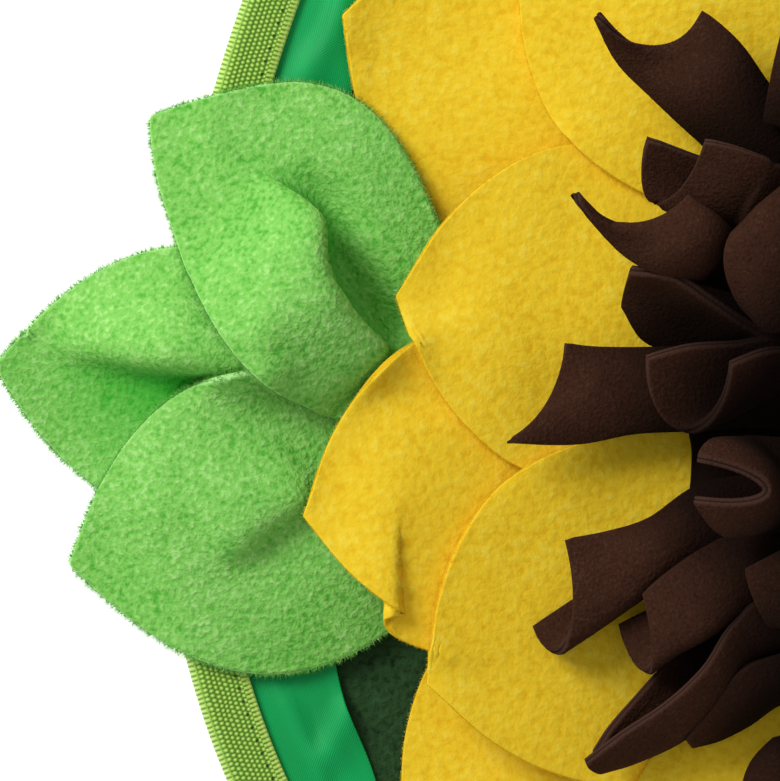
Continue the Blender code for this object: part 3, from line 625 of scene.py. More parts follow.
def cloth_shell(middle, thickness, edge, closed=False, hollow=0.0):
    """Both faces and the cut edge of a cloth, from a grid of points halfway through it."""
    shape = middle.shape[:2]
    normals = grid_normals(middle, closed)
    half = np.broadcast_to(np.asarray(thickness, float) / 2, shape)[..., None]
    hollow = np.broadcast_to(hollow, shape)
    number = np.arange(shape[0] * shape[1]).reshape(shape)
    rows = slice(None) if closed else slice(-1)
    here, there = number[rows], np.roll(number, -1, 0)[rows]
    top = np.stack((here[:, :-1], there[:, :-1], there[:, 1:], here[:, 1:]), -1).reshape(-1, 4)
    along, across = (
        np.concatenate(([0], np.linalg.norm(np.diff(middle, axis=axis), axis=2).mean(axis=1 - axis).cumsum()))
        for axis in (0, 1)
    )
    flat = np.stack(np.meshgrid(along, across, indexing="ij"), -1)
    points = [(middle + normals * half).reshape(-1, 3), (middle - normals * half).reshape(-1, 3)]
    faces = [top, top[:, (0, 3, 2, 1)] + number.size]
    maps = [flat.reshape(-1, 2)] * 2
    rims = [np.zeros(2 * number.size)]
    hollows = [hollow.ravel()] * 2
    fringe = []
    count = 2 * number.size
    for loop in edge_loops(*shape, closed):
        index = tuple(np.array(loop).T)
        place, normal, thick = middle[index], normals[index], half[index]
        tangent = unit(np.roll(place, -1, 0) - np.roll(place, 1, 0))
        outwards = unit(np.cross(normal, tangent))
        reach = 0.8 * min(out for out, height in edge if abs(height) < 0.5)
        fringe.append((place, outwards, normal, tangent, thick, reach))
        lines = [number[index]]
        for out, height in edge:
            points.append(place + thick * (out * outwards + height * normal))
            maps.append(flat[index])
            rims.append(np.full(len(loop), 1 - abs(height)))
            hollows.append(hollow[index])
            lines.append(np.arange(count, count + len(loop)))
            count += len(loop)
        lines.append(number[index] + number.size)
        for line, after in zip(lines, lines[1:]):
            faces.append(np.stack((line, np.roll(line, -1), np.roll(after, -1), after), -1))
    parts = dict(points=points, faces=faces, map=maps, rim=rims, hollow=hollows)
    return dict(fringe=fringe, **{name: np.concatenate(values) for name, values in parts.items()})


def join_shells(shells):
    """Several cloths as one."""
    joined = {name: np.concatenate([shell[name] for shell in shells]) for name in ("points", "map", "rim", "hollow")}
    starts = np.cumsum([0] + [len(shell["points"]) for shell in shells])
    joined["faces"] = np.concatenate([shell["faces"] + start for shell, start in zip(shells, starts)])
    return joined


def make_piece(name, shell, material, nodes=()):
    """An object of the mat from points in millimetres, which stands for these CAD nodes."""
    mesh = bpy.data.meshes.new(name)
    mesh.from_pydata((shell["points"] * MM).tolist(), [], shell["faces"].tolist())
    if "map" in shell:
        corners = np.empty(len(mesh.loops), int)
        mesh.loops.foreach_get("vertex_index", corners)
        layer = mesh.uv_layers.new(name="cloth")
        layer.data.foreach_set("uv", (shell["map"][corners] * MM).astype(np.float32).ravel())
        for mask in ("rim", "hollow"):
            layer = mesh.attributes.new(mask, "FLOAT", "POINT")
            layer.data.foreach_set("value", shell[mask].astype(np.float32))
    mesh.shade_smooth()
    mesh.materials.append(material)
    piece = bpy.data.objects.new(name, mesh)
    bpy.context.scene.collection.objects.link(piece)
    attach(piece, "root")
    if nodes:
        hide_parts(*nodes)
    return piece


def make_fuzz(name, cloth, fringes, material, seed):
    """Loose fibres that stand off the cut edges, each a thin spike. fringes: (loop, fibres per millimetre)."""
    length, thick, lowest = (FUZZ[cloth][fact] for fact in ("length", "thick", "lowest"))
    random = np.random.default_rng(seed)
    fibres = []
    for (place, outwards, normal, tangent, half, reach), per_mm in fringes:
        gaps = np.linalg.norm(np.roll(place, -1, 0) - place, axis=1)
        count = int(gaps.sum() * per_mm)
        where = np.searchsorted(gaps.cumsum(), random.uniform(0, gaps.sum(), count)) % len(place)
        share = random.uniform(0, 1, (count, 1))
        lift = random.uniform(lowest, 0.9, (count, 1))
        root = place[where] * (1 - share) + place[(where + 1) % len(place)] * share
        root = root + half[where] * (reach * outwards[where] + lift * normal[where])
        way = (
            outwards[where] * random.uniform(0.3, 1.0, (count, 1))
            + normal[where] * (0.7 * lift + random.uniform(-0.3, 0.3, (count, 1)))
            + tangent[where] * random.uniform(-0.8, 0.8, (count, 1))
        )
        tip = root + unit(way) * random.uniform(0.35, 1.0, (count, 1)) * length
        fibres.append((root, tip, tangent[where], normal[where]))
    root, tip, side, up = (np.concatenate(values) for values in zip(*fibres))
    corners = np.stack((root - thick * side, root + thick * side, root + thick * up, tip), 1)
    first = 4 * np.arange(len(root))[:, None]
    faces = np.stack([first + np.array(face) for face in ((0, 1, 2), (0, 3, 1), (1, 3, 2), (2, 3, 0))], 1)
    corners[..., 2] = np.maximum(corners[..., 2], FLOOR_GAP)
    volume = np.einsum("ij,ij->i", np.cross(corners[:, 1] - corners[:, 0], corners[:, 2] - corners[:, 0]), tip - root)
    outside = volume <= 0
    faces[outside] = faces[outside][:, :, ::-1]
    shell = dict(points=corners.reshape(-1, 3), faces=faces.reshape(-1, 3))
    return make_piece(name, shell, material)


# -------------------------------------------------------------------------------------------- materials


class Signal:
    """What a socket in a node tree puts out. A sum written with signals adds its Math nodes to their tree."""

    def __init__(self, tree, socket):
        self.tree = tree
        self.socket = socket

    def math(self, operation, *values):
        return calculate(self.tree, operation, self, *values)

    def __add__(self, other):
        return self.math("ADD", other)

    def __sub__(self, other):
        return self.math("SUBTRACT", other)

    def __mul__(self, other):
        return self.math("MULTIPLY", other)

    def __truediv__(self, other):
        return self.math("DIVIDE", other)

    def __rsub__(self, other):
        return calculate(self.tree, "SUBTRACT", other, self)


def feed(tree, value, socket):
    """Links a signal to a socket, or sets a plain number or colour."""
    if isinstance(value, Signal):
        tree.links.new(value.socket, socket)
    else:
        socket.default_value = (*value, 1) if socket.type == "RGBA" else value


def add_node(tree, kind, takes, output=0, **settings):
    """Adds a node with these settings, fed with signals and plain values, and returns one of its outputs."""
    node = tree.nodes.new(kind)
    for setting, value in settings.items():
        setattr(node, setting, value)
    for place, value in takes.items():
        feed(tree, value, node.inputs[place])
    return Signal(tree, node.outputs[output])


def calculate(tree, operation, *values):
    """A Math node's result."""
    return add_node(tree, "ShaderNodeMath", dict(enumerate(values)), operation=operation)


def spread_range(value, low, high, out_low=0.0, out_high=1.0):
    """Spreads a signal from one range to another, smoothly at both ends."""
    takes = dict(enumerate((value, low, high, out_low, out_high)))
    return add_node(value.tree, "ShaderNodeMapRange", takes, interpolation_type="SMOOTHSTEP")


def mix_colours(share, one, other):
    """One colour, and as much of the other over it as a signal says."""
    return add_node(share.tree, "ShaderNodeMix", {0: share, 6: one, 7: other}, 2, data_type="RGBA")


def noise(place, scale, detail=2.0, distortion=0.0):
    """Soft uneven noise, 0 to 1, with so many swells in a metre."""
    takes = {"Vector": place, "Scale": scale, "Detail": detail, "Distortion": distortion}
    return add_node(place.tree, "ShaderNodeTexNoise", takes)


def split_apart(vector):
    """The x, y and z of a signal."""
    node = add_node(vector.tree, "ShaderNodeSeparateXYZ", {0: vector}).socket.node
    return [Signal(vector.tree, socket) for socket in node.outputs]


def new_group(name, defaults):
    """A node group with these inputs, which gives a colour, a roughness and a height."""
    tree = bpy.data.node_groups.new(name, "ShaderNodeTree")
    for label, default in defaults.items():
        kind = "NodeSocketColor" if isinstance(default, tuple) else "NodeSocketFloat"
        socket = tree.interface.new_socket(label, in_out="INPUT", socket_type=kind)
        socket.default_value = (*default, 1) if isinstance(default, tuple) else default
    tree.interface.new_socket("Colour", in_out="OUTPUT", socket_type="NodeSocketColor")
    for label in ("Roughness", "Height"):
        tree.interface.new_socket(label, in_out="OUTPUT", socket_type="NodeSocketFloat")
    inside = tree.nodes.new("NodeGroupInput")
    return tree, {label: Signal(tree, inside.outputs[label]) for label in defaults}


def give_out(tree, colour, roughness, height):
    """Ends a group with what it gives."""
    outside = tree.nodes.new("NodeGroupOutput")
    for label, value in (("Colour", colour), ("Roughness", roughness), ("Height", height)):
        feed(tree, value, outside.inputs[label])
    return tree


@functools.cache
def fleece_pile_group():
    """Pile of fleece: soft clumps with roots between them, fine fibres over them and slow shading."""
    defaults = {
        "Clumps Per Metre": 760.0,
        "Fibres Per Metre": 2400.0,
        "Contrast": 0.5,
        "Tips": (0.8, 0.8, 0.8),
        "Pile": (0.5, 0.5, 0.5),
        "Roots": (0.2, 0.2, 0.2),
    }
    tree, takes = new_group("fleece_pile", defaults)
    place = add_node(tree, "ShaderNodeTexCoord", {}, "Object")
    scale = takes["Clumps Per Metre"]
    pebbles = add_node(tree, "ShaderNodeTexVoronoi", {"Vector": place, "Scale": scale}, "Distance")
    clumps = noise(place, scale, 1.5, 0.15)
    fibres = noise(place, takes["Fibres Per Metre"], 2.0, 0.3)
    clump = spread_range(pebbles, 0.8, 0.2) * 0.25 + spread_range(clumps, 0.25, 0.75) * 0.75
    fibre = spread_range(fibres, 0.22, 0.78)
    height = clump * 0.8 + fibre * 0.2
    tone = (height - 0.5) * takes["Contrast"] + 0.5
    for patches_per_metre, share in ((45.0, 0.5), (210.0, 0.6)):
        tone += (noise(place, patches_per_metre) - 0.5) * share * takes["Contrast"]
    shade = mix_colours(spread_range(tone, 0.5, 0.0), takes["Pile"], takes["Roots"])
    shade = mix_colours(spread_range(tone, 0.5, 1.0), shade, takes["Tips"])
    return give_out(tree, shade, 1.0 - fibre * 0.1, height)


@functools.cache
def webbing_weave_group():
    """Woven tape: staggered thread tops with painted highlights, long ribs at both edges, gaps with painted shade, a
    selvage with a painted highlight and the holes of the seam.
    """
    defaults = {
        "Pitch Along": 0.00115,
        "Pitch Across": 0.00122,
        "Width": 0.024,
        "Stitch": 0.0029,
        "Seam": 0.0021,
        "Tops": (0.8, 0.9, 0.4),
        "Threads": (0.4, 0.6, 0.1),
        "Gaps": (0.1, 0.2, 0.02),
    }
    tree, takes = new_group("webbing_weave", defaults)
    cloth = add_node(tree, "ShaderNodeUVMap", {}, uv_map="cloth")
    along, across, _ = split_apart(cloth)
    wander = (noise(cloth, 260.0, 1.0) - 0.5) * 0.5
    row = across / takes["Pitch Across"] + wander
    step = along / takes["Pitch Along"] + wander
    odd = row.math("FLOOR").math("MODULO", 2.0)
    off_along = (step + odd * 0.5).math("FRACT") - 0.5
    off_across = row.math("FRACT") - 0.5
    bead = (1.0 - (off_along * off_along + off_across * off_across) * 3.4).math("MAXIMUM", 0.0)
    rib_off = step.math("FRACT") - 0.5
    rib = 1.0 - rib_off * rib_off * 3.6

    centre = takes["Width"] * 0.5
    from_fold = (across - centre).math("ABSOLUTE")
    near_edge = spread_range(from_fold, centre - 0.0014, centre - 0.0010)
    ribbed = near_edge.math("MAXIMUM", spread_range(from_fold, 0.0030, 0.0018))
    height = rib * ribbed + bead * (1.0 - ribbed)
    lit_selvage = spread_range(from_fold, centre - 0.0005, centre - 0.0002)
    hole_along = ((along / takes["Stitch"]).math("FRACT") - 0.5) * takes["Stitch"]
    hole_across = from_fold - (centre - takes["Seam"])
    from_hole = (hole_along * hole_along + hole_across * hole_across).math("SQRT")
    hole = spread_range(from_hole, 0.00046, 0.0002)

    # Painted shade in the gaps, and painted highlights on the thread tops and along the selvage.
    shade = mix_colours(spread_range(height, 0.05, 0.55), takes["Gaps"], takes["Threads"])
    shade = mix_colours(spread_range(height, 0.62, 1.0), shade, takes["Tops"])
    shade = mix_colours(lit_selvage, shade, takes["Tops"])
    shade = mix_colours(hole, shade, (0.040, 0.100, 0.010))
    return give_out(tree, shade, spread_range(height, 0.0, 1.0, 0.62, 0.34), height - hole)


@functools.cache
def satin_twill_group():
    """Thin satin: fine slanting threads whose direction changes from patch to patch, and soft slanting bands of
    painted light and shade, as of small folds.
    """
    defaults = {"Threads Per Metre": 2500.0, "Threads": (0.1, 0.5, 0.2), "Gaps": (0.0, 0.3, 0.1)}
    tree, takes = new_group("satin_twill", defaults)
    cloth = add_node(tree, "ShaderNodeUVMap", {}, uv_map="cloth")
    along, across, _ = split_apart(cloth)
    wander = noise(cloth, 90.0, 1.0) * 2.2
    one, other = (
        ((along * slant + across * rise) * takes["Threads Per Metre"] + wander) * (2 * math.pi)
        for slant, rise in ((0.50, 0.87), (-0.62, 0.78))
    )
    patch = spread_range(noise(cloth, 55.0, 1.0), 0.42, 0.58, 0.15, 0.85)
    height = (one.math("SINE") * 0.5 + 0.5) * patch + (other.math("SINE") * 0.5 + 0.5) * (1.0 - patch)
    slanted = add_node(tree, "ShaderNodeMapping", {"Vector": cloth, "Rotation": (0, 0, 0.6), "Scale": (28, 110, 1)})
    bands = spread_range(noise(slanted, 1.0, 1.0), 0.3, 0.7)
    # The bands are painted light and shade of small folds, laid over the weave.
    shade = mix_colours(height * 0.5 + bands * 0.5, takes["Gaps"], takes["Threads"])
    return give_out(tree, shade, spread_range(height, 0.0, 1.0, 0.58, 0.44), height)


def painted(tree, name):
    """A mask that a piece's points carry."""
    return add_node(tree, "ShaderNodeAttribute", {}, "Fac", attribute_name=name)


def cut_edge(tree):
    """Where a cloth's cut edge is."""
    return spread_range(painted(tree, "rim"), 0.02, 0.45)


def split_edge(tree):
    """The groove halfway through a cut edge, where the two faces of a strip part, which takes painted shade."""
    return spread_range(painted(tree, "rim"), 0.72, 0.98)


def painted_fold_shade(tree):
    """Painted shade in a fold: how deep in it a place is, as the piece's points carry it."""
    return painted(tree, "hollow")


def painted_tuft_shade(tree):
    """Painted shade deep in the tuft: how far down among the strips a place is, 0 to 1; the tuft is highest in the
    middle.
    """
    x, y, z = split_apart(add_node(tree, "ShaderNodeTexCoord", {}, "Object"))
    top = (0.152 - (x * x + y * y).math("SQRT") * 0.88).math("MINIMUM", 0.062)
    return spread_range(top - z, 0.0, 0.020, 0.0, 0.92)


def cloth_material(name, group, takes, specular, bump, distance, masks=()):
    """A cloth's material. Its group gives colour, roughness and height; each mask lays its colour over that."""
    material = bpy.data.materials.new(name)
    material.use_nodes = True
    tree = material.node_tree
    shader = tree.nodes["Principled BSDF"]
    node = tree.nodes.new("ShaderNodeGroup")
    node.node_tree = group
    for label, value in takes.items():
        feed(tree, value, node.inputs[label])
    shade = Signal(tree, node.outputs["Colour"])
    for mask, colour in masks:
        shade = mix_colours(mask(tree), shade, colour)
    height = Signal(tree, node.outputs["Height"])
    relief = add_node(tree, "ShaderNodeBump", {"Strength": bump, "Distance": distance, "Height": height})
    feed(tree, shade, shader.inputs["Base Color"])
    feed(tree, Signal(tree, node.outputs["Roughness"]), shader.inputs["Roughness"])
    feed(tree, relief, shader.inputs["Normal"])
    shader.inputs["Specular IOR Level"].default_value = specular
    return material


def fleece_material(name, tones, clumps, contrast, bump, sheen, masks=()):
    """Fleece in the tones of its pile tips, its pile and its pile roots. Pieces of one fleece share it."""
    if name in bpy.data.materials:
        return bpy.data.materials[name]
    takes = dict(zip(("Tips", "Pile", "Roots"), tones))
    takes.update({"Clumps Per Metre": clumps, "Contrast": contrast})
    material = cloth_material(name, fleece_pile_group(), takes, 0.06, bump, 0.0008, masks)
    shader = material.node_tree.nodes["Principled BSDF"]
    shader.inputs["Sheen Weight"].default_value = sheen
    shader.inputs["Sheen Roughness"].default_value = 0.5
    shader.inputs["Sheen Tint"].default_value = (*tones[0], 1)
    return material


def base_material(colours):
    tones = colours.base_light, colours.base_middle, colours.base_dark
    return fleece_material("base_pile", tones, clumps=640, contrast=0.8, bump=0.6, sheen=0.05)


def petal_material(colours):
    tones = colours.petal_light, colours.petal_middle, colours.petal_dark
    # Painted shade: the cut edge takes the darker tone of the pile roots.
    masks = [(cut_edge, colours.petal_dark)]
    return fleece_material("petal_pile", tones, clumps=560, contrast=0.85, bump=0.24, sheen=0.10, masks=masks)


def leaf_material(colours):
    tones = colours.leaf_light, colours.leaf_middle, colours.leaf_dark
    # Painted light: the cut edge is lighter, as the pile glows at its edges.
    # Painted shade: the folds take a deeper green.
    masks = [(cut_edge, colours.leaf_edge_light), (painted_fold_shade, colours.leaf_fold_shade)]
    return fleece_material("leaf_pile", tones, clumps=820, contrast=0.9, bump=0.5, sheen=0.03, masks=masks)


def strip_material(colours):
    tones = colours.strip_light, colours.strip_middle, colours.strip_dark
    # Painted shade: a darker tone in the groove halfway through the cut edge, and a darker one deep in the tuft.
    groove_shade, deep = (tuple(share * value for value in colours.strip_edge_highlight) for share in (0.35, 0.07))
    # Painted highlight: the cut edge is lighter.
    masks = [(cut_edge, colours.strip_edge_highlight), (split_edge, groove_shade), (painted_tuft_shade, deep)]
    return fleece_material("strip_pile", tones, clumps=1400, contrast=0.6, bump=0.35, sheen=0.03, masks=masks)


# ------------------------------------------------------------------------------------------------ rings


def let_out(sizes, angles):
    """How much larger the mat is at these angles about +Z, in radians, because its rim waves."""
    return 1 - sizes.rim_wave / sizes.mat_radius * np.sin(sizes.rim_waves * angles)


def ring_grid(sizes, section, steps):
    """A section of radius and height points, spun about +Z and let out or in with the rim's wave."""
    turns = np.linspace(0, 2 * math.pi, steps, endpoint=False)[:, None]
    radius, height = np.array(section, float).T
    out = radius[None] * let_out(sizes, turns)
    return np.stack((out * np.cos(turns), out * np.sin(turns), np.tile(height, (steps, 1))), -1)


def lay_base(sizes, colours):
    """The fleece disc, flat below, and pressed thinner where the tape holds its edge."""
    edge = sizes.mat_radius / MM - HELD_EDGE["inset"]
    side = np.linspace(-1, 1, BASE_POINTS)
    x, y = np.meshgrid(side, side, indexing="ij")
    disc = np.stack((x * np.sqrt(1 - y**2 / 2), y * np.sqrt(1 - x**2 / 2)), -1) * edge
    plan = disc * let_out(sizes, np.arctan2(disc[..., 1], disc[..., 0]))[..., None]
    to_edge = edge - np.linalg.norm(disc, axis=-1)
    pressed = np.clip((HELD_EDGE["width"] - to_edge) / HELD_EDGE["slope"], 0, 1)
    full = sizes.base_thickness / MM
    thickness = full - HELD_EDGE["thinner"] * pressed
    middle = np.concatenate((plan, (full - thickness / 2)[..., None]), -1)
    shell = cloth_shell(middle, thickness, PLAIN_EDGE[1:-1])
    shell["points"][shell["points"][:, 2] < 0.02, 2] = 0.0
    piece = make_piece("base_disc", shell, base_material(colours), ["base"])
    PILE.add(middle + np.array((0, 0, 1)) * (thickness / 2)[..., None])


def lay_collar(sizes, colours):
    """The satin band. Its inner edge is free, wanders in and out and stands up in soft ripples."""
    radius = sizes.mat_radius / MM
    across, steps = SATIN_POINTS
    rows = np.linspace(sizes.satin_inner / MM, radius - SATIN["inset"], across)
    low = (sizes.base_thickness + sizes.satin_thickness / 2) / MM + LAYER_GAP
    grid = ring_grid(sizes, [(row, low) for row in rows], steps)
    turns = np.arctan2(grid[..., 1], grid[..., 0])
    held = radius - sizes.tape_lip / MM - SATIN["past_lip"]
    loose = np.clip((held - rows) / SATIN["loosens"], 0, 1)
    ripples = np.sin(17 * turns) + 0.6 * np.sin(29 * turns + 1)
    inwards = 2.0 * np.cos(12 * (turns - 3.45)) + 0.5 * np.sin(41 * turns)
    grid[..., :2] *= (1 - inwards * loose / rows)[..., None]
    grid[..., 2] += SATIN["ripple"] * loose * (0.5 + 0.5 * ripples / 1.6)
    grid[..., 2] += np.clip(2 * loose, 0, 1) * fold_relief(grid[..., :2], FOLDS["collar"])[0]
    shell = cloth_shell(grid, sizes.satin_thickness / MM * SATIN["fill"], PLAIN_EDGE[1:-1], closed=True)
    takes = {"Threads": colours.satin_threads_and_fold_light, "Gaps": colours.satin_gaps_and_fold_shade}
    satin = cloth_material("satin_twill", satin_twill_group(), takes, 0.2, 0.45, 0.00012)
    piece = make_piece("satin_collar", shell, satin, ["collar"])
    PILE.add(grid + np.array((0, 0, 0.5 * sizes.satin_thickness / MM)))


def tape_section(sizes, across):
    """Middle line of the tape in section, from its lower lip round the rim to its upper lip, and its width."""
    radius = sizes.mat_radius / MM
    half = sizes.tape_thickness / MM / 2
    lip = radius - sizes.tape_lip / MM
    top = (sizes.base_thickness + sizes.satin_thickness) / MM + 2 * LAYER_GAP + half
    corners = (
        (lip, half),
        (radius - 5, half),
        (radius - 2.2, half + 0.1),
        (radius - half, (half + top) / 2),
        (radius - 2.2, top - 0.1),
        (radius - 5, top),
        (lip + 1.0, top),
        (lip, top - 0.1),
    )
    fine = smooth_curve(corners, np.linspace(0, len(corners) - 1, 200))
    length = lengths_along(fine)
    even = np.linspace(0, length[-1], across)
    return np.column_stack([np.interp(even, length, column) for column in fine.T]), length[-1]


def lay_binding(sizes, colours):
    """Webbing tape folded over the rim, and the seam that holds it."""
    across, steps = TAPE_POINTS
    section, width = tape_section(sizes, across)
    grid = ring_grid(sizes, section, steps)
    shell = cloth_shell(grid[:, ::-1], sizes.tape_thickness / MM, PLAIN_EDGE[1:-1], closed=True)
    round_mat = 2 * math.pi * sizes.mat_radius / MM
    x, y, _ = shell["points"].T
    shell["map"][:, 0] = np.arctan2(y, x) % (2 * math.pi) / (2 * math.pi) * round_mat
    shell["map"][:, 1] = width - shell["map"][:, 1]
    # Threads and stitches go a whole number of times round the mat.
    thread, stitch = (round_mat / round(round_mat / pitch) * MM for pitch in (1.0, sizes.stitch_length / MM))
    takes = {
        "Pitch Along": thread,
        "Pitch Across": 0.00102,
        "Width": width * MM,
        "Stitch": stitch,
        "Tops": colours.tape_top_highlight,
        "Threads": colours.tape_middle,
        "Gaps": colours.tape_gap_shade,
    }
    tape = cloth_material("webbing_weave", webbing_weave_group(), takes, 0.5, 0.75, 0.0005)
    piece = make_piece("webbing_binding", shell, tape, ["binding"])
    PILE.add(grid + np.array((0, 0, 0.5 * sizes.tape_thickness / MM)))


# ------------------------------------------------------------------------------------- petals and leaves


def settle(height, floor, widths, steps, sink):
    """Lets a sheet sink step by step; it stays smooth between the places that carry it, and narrow rows level."""
    stiff = 1 / np.maximum(widths, 1)[:, None] ** 2
    ease = 0.8
    for _ in range(steps):
        wide = np.pad(height, 1, mode="edge")
        even = (wide[:-2, 1:-1] + wide[2:, 1:-1] + wide[1:-1, :-2] + wide[1:-1, 2:]) / 4
        height = (1 - ease) * height + ease * even - sink
        height = np.maximum(height + stiff * (height.mean(axis=1, keepdims=True) - height), floor)
    return height


def cut_piece(sizes, name, foot, tip, half, crown, cut, fine, seed, sway=(0, 0)):
    """A cut piece of fleece laid on the pile: a grid halfway through it, the painted fold shade at its points, and
    its area.
    """
    foot, tip = np.array(foot, float), np.array(tip, float)
    length = np.linalg.norm(tip - foot)
    rows = int(length / fine)
    columns = int(2 * half / fine) | 1
    # Rows lie closer towards the tip, and columns towards the edges.
    share = 1 - (1 - np.linspace(0, 1, rows)) ** 1.35
    across = np.sin(np.linspace(-1, 1, columns) * math.pi / 2) * 0.35 + np.linspace(-1, 1, columns) * 0.65
    reading = smooth_curve(cut, np.linspace(0, len(cut) - 1, 400))
    widths = half * np.interp(share, reading[:, 0], reading[:, 1])
    ahead = (tip - foot) / length
    left = np.array((-ahead[1], ahead[0]))
    swayed = smooth_curve([(0,), (sway[0],), (sway[1],), (0,)], np.interp(share, SWAY_AT, (0, 1, 2, 3)))
    middle = foot + share[:, None] * (tip - foot) + swayed * left
    plan = middle[:, None] + (widths[:, None] * across)[..., None] * left
    bulge = np.outer(np.sin(np.clip(share * 1.1, 0, 1) * math.pi), 1 - across**2)
    relief, push, hollow = fold_relief(plan, FOLDS.get(name, ()))
    lift = crown * bulge + relief + uneven(plan, seed, size=34, height=0.35)
    above = (sizes.sewing_gap + sizes.fleece_thickness / 2) / MM
    floor = PILE.read(PILE.near, plan) + above
    bed = settle(PILE.read(PILE.soft, plan) + above, floor, widths, steps=600, sink=0.002)
    height = settle(np.maximum(bed + lift, floor), floor, widths, steps=3, sink=0)
    grid = np.concatenate((plan + push, height[..., None]), -1)
    if grid_normals(grid)[..., 2].sum() < 0:
        grid, hollow = grid[:, ::-1], hollow[:, ::-1]
    area = np.sum((widths[1:] + widths[:-1]) * np.diff(share)) * length
    return grid, hollow, area


def lay_fleece(sizes, name, cut, edge, material):
    """Makes a cut piece, lays it on the pile and returns the loops of its edge."""
    grid, hollow, area = cut
    thickness = sizes.fleece_thickness / MM
    shell = cloth_shell(grid, thickness, edge, hollow=hollow)
    piece = make_piece(name + "_fleece", shell, material, [name])
    area * MM * MM
    PILE.add(grid + grid_normals(grid) * (thickness / 2))
    return shell["fringe"]


def lay_petals(sizes, colours, row, numbers):
    """Lays these petals of a row one over the next. Number 1 points along -X."""
    facts = PETAL_ROWS[row]
    length, half = sizes.petal_length / MM, sizes.petal_half_width / MM
    pile = petal_material(colours)
    fringes = []
    for number in numbers:
        own = dict(zip(PETAL_COLUMNS, facts["petals"][number - 1]))
        angle = facts["first_angle"] - 360 / PETALS_IN_ROW * (number - 1) + own["turn"]
        tip = from_minus_x(facts["reach"] + own["reach"], angle)
        foot = tip - from_minus_x(length, angle + own["lean"])
        name = f"{row}_petal_{number:02d}"
        fine, per_mm = NEAR_PETAL if number in NEAR_PETALS else FAR_PETAL
        cut = cut_piece(sizes, name, foot, tip, half, own["crown"], PETAL_CUT, fine, facts["seed"] + number)
        loops = lay_fleece(sizes, name, cut, CUT_EDGE, pile)
        fringes += [(loop, per_mm) for loop in loops]
    name = f"{row}_petal_fuzz_{numbers[0]:02d}"
    make_fuzz(name, "petal", fringes, pile, seed=numbers[0])


def lay_leaves(sizes, colours):
    """The three leaves, one over the next."""
    pile = leaf_material(colours)
    fine, per_mm = LEAF
    fringes = []
    for seed, leaf in enumerate(LEAVES, start=200):
        cut = cut_piece(sizes, cut=LEAF_CUT, fine=fine, seed=seed, **leaf)
        loops = lay_fleece(sizes, leaf["name"], cut, PLAIN_EDGE, pile)
        fringes += [(loop, per_mm) for loop in loops]
    make_fuzz("leaf_fuzz", "leaf", fringes, pile, seed=9)


# ----------------------------------------------------------------------------------------------- strips


def strip_grid(rows, along, across):
    """A strip as a grid halfway through it, from rows of one long edge, the middle and the other long edge."""
    rows = np.array(rows, float)
    starts = lengths_along(rows[:, 3:6])
    even = np.linspace(0, starts[-1], along)
    rows = smooth_curve(rows, np.interp(even, starts, np.arange(len(rows))))
    one, middle, other = (rows[:, None, k : k + 3] for k in (0, 3, 6))
    share = np.linspace(-1, 1, across)[:, None]
    half, depth = (other - one) / 2, (one + other) / 2 - middle
    # A strip that is bowed deeply is rolled round, and a flat one follows a gentle curve.
    steepness = np.linalg.norm(depth, axis=-1, keepdims=True) / np.linalg.norm(half, axis=-1, keepdims=True)
    rolled = np.clip(steepness - 0.3, 0, 1)
    sideways = (1 - rolled) * share + rolled * np.sin(share * math.pi / 2)
    outwards = (1 - rolled) * share**2 + rolled * (1 - np.cos(share * math.pi / 2))
    return middle + sideways * half + outwards * depth


def rooted_rows(sizes, strip):
    """A strip's rows with those of its root in front."""
    ring = RINGS[strip["ring"]]
    angle = math.radians(strip["angle"])
    half = sizes.strip_width / MM / 2 * np.array((math.sin(angle), math.cos(angle)))
    rows = []
    for radius, height in ((ring["radius"], STRIP_FOOT_HEIGHT), (ring["radius"] + RING_LEAN, ring["rise"])):
        middle = from_minus_x(radius, strip["angle"])
        rows.append((*(middle + half), height, *middle, height, *(middle - half), height))
    return rows + list(strip["rows"])


def turned(points, degrees):
    """Points turned about +Z."""
    cosine, sine = math.cos(math.radians(degrees)), math.sin(math.radians(degrees))
    return points @ np.array(((cosine, sine, 0), (-sine, cosine, 0), (0, 0, 1)))


def lay_strips(sizes, colours):
    """The strips that the CAD part has, each as its own piece."""
    pile = strip_material(colours)
    fringes = []
    for number, (strip, turn) in enumerate(PLACED, start=1):
        along, across, per_mm = OWN_STRIP if number <= len(STRIPS) else TURNED_STRIP
        grid = turned(strip_grid(rooted_rows(sizes, strip), along, across), turn)
        shell = cloth_shell(grid, sizes.strip_thickness / MM, SPLIT_EDGE)
        name = f"strip_{number:02d}"
        piece = make_piece(name + "_fleece", shell, pile, [name])
        fringes += [(loop, per_mm) for loop in shell["fringe"]]
    make_fuzz("strip_fuzz", "strip", fringes, pile, seed=31)


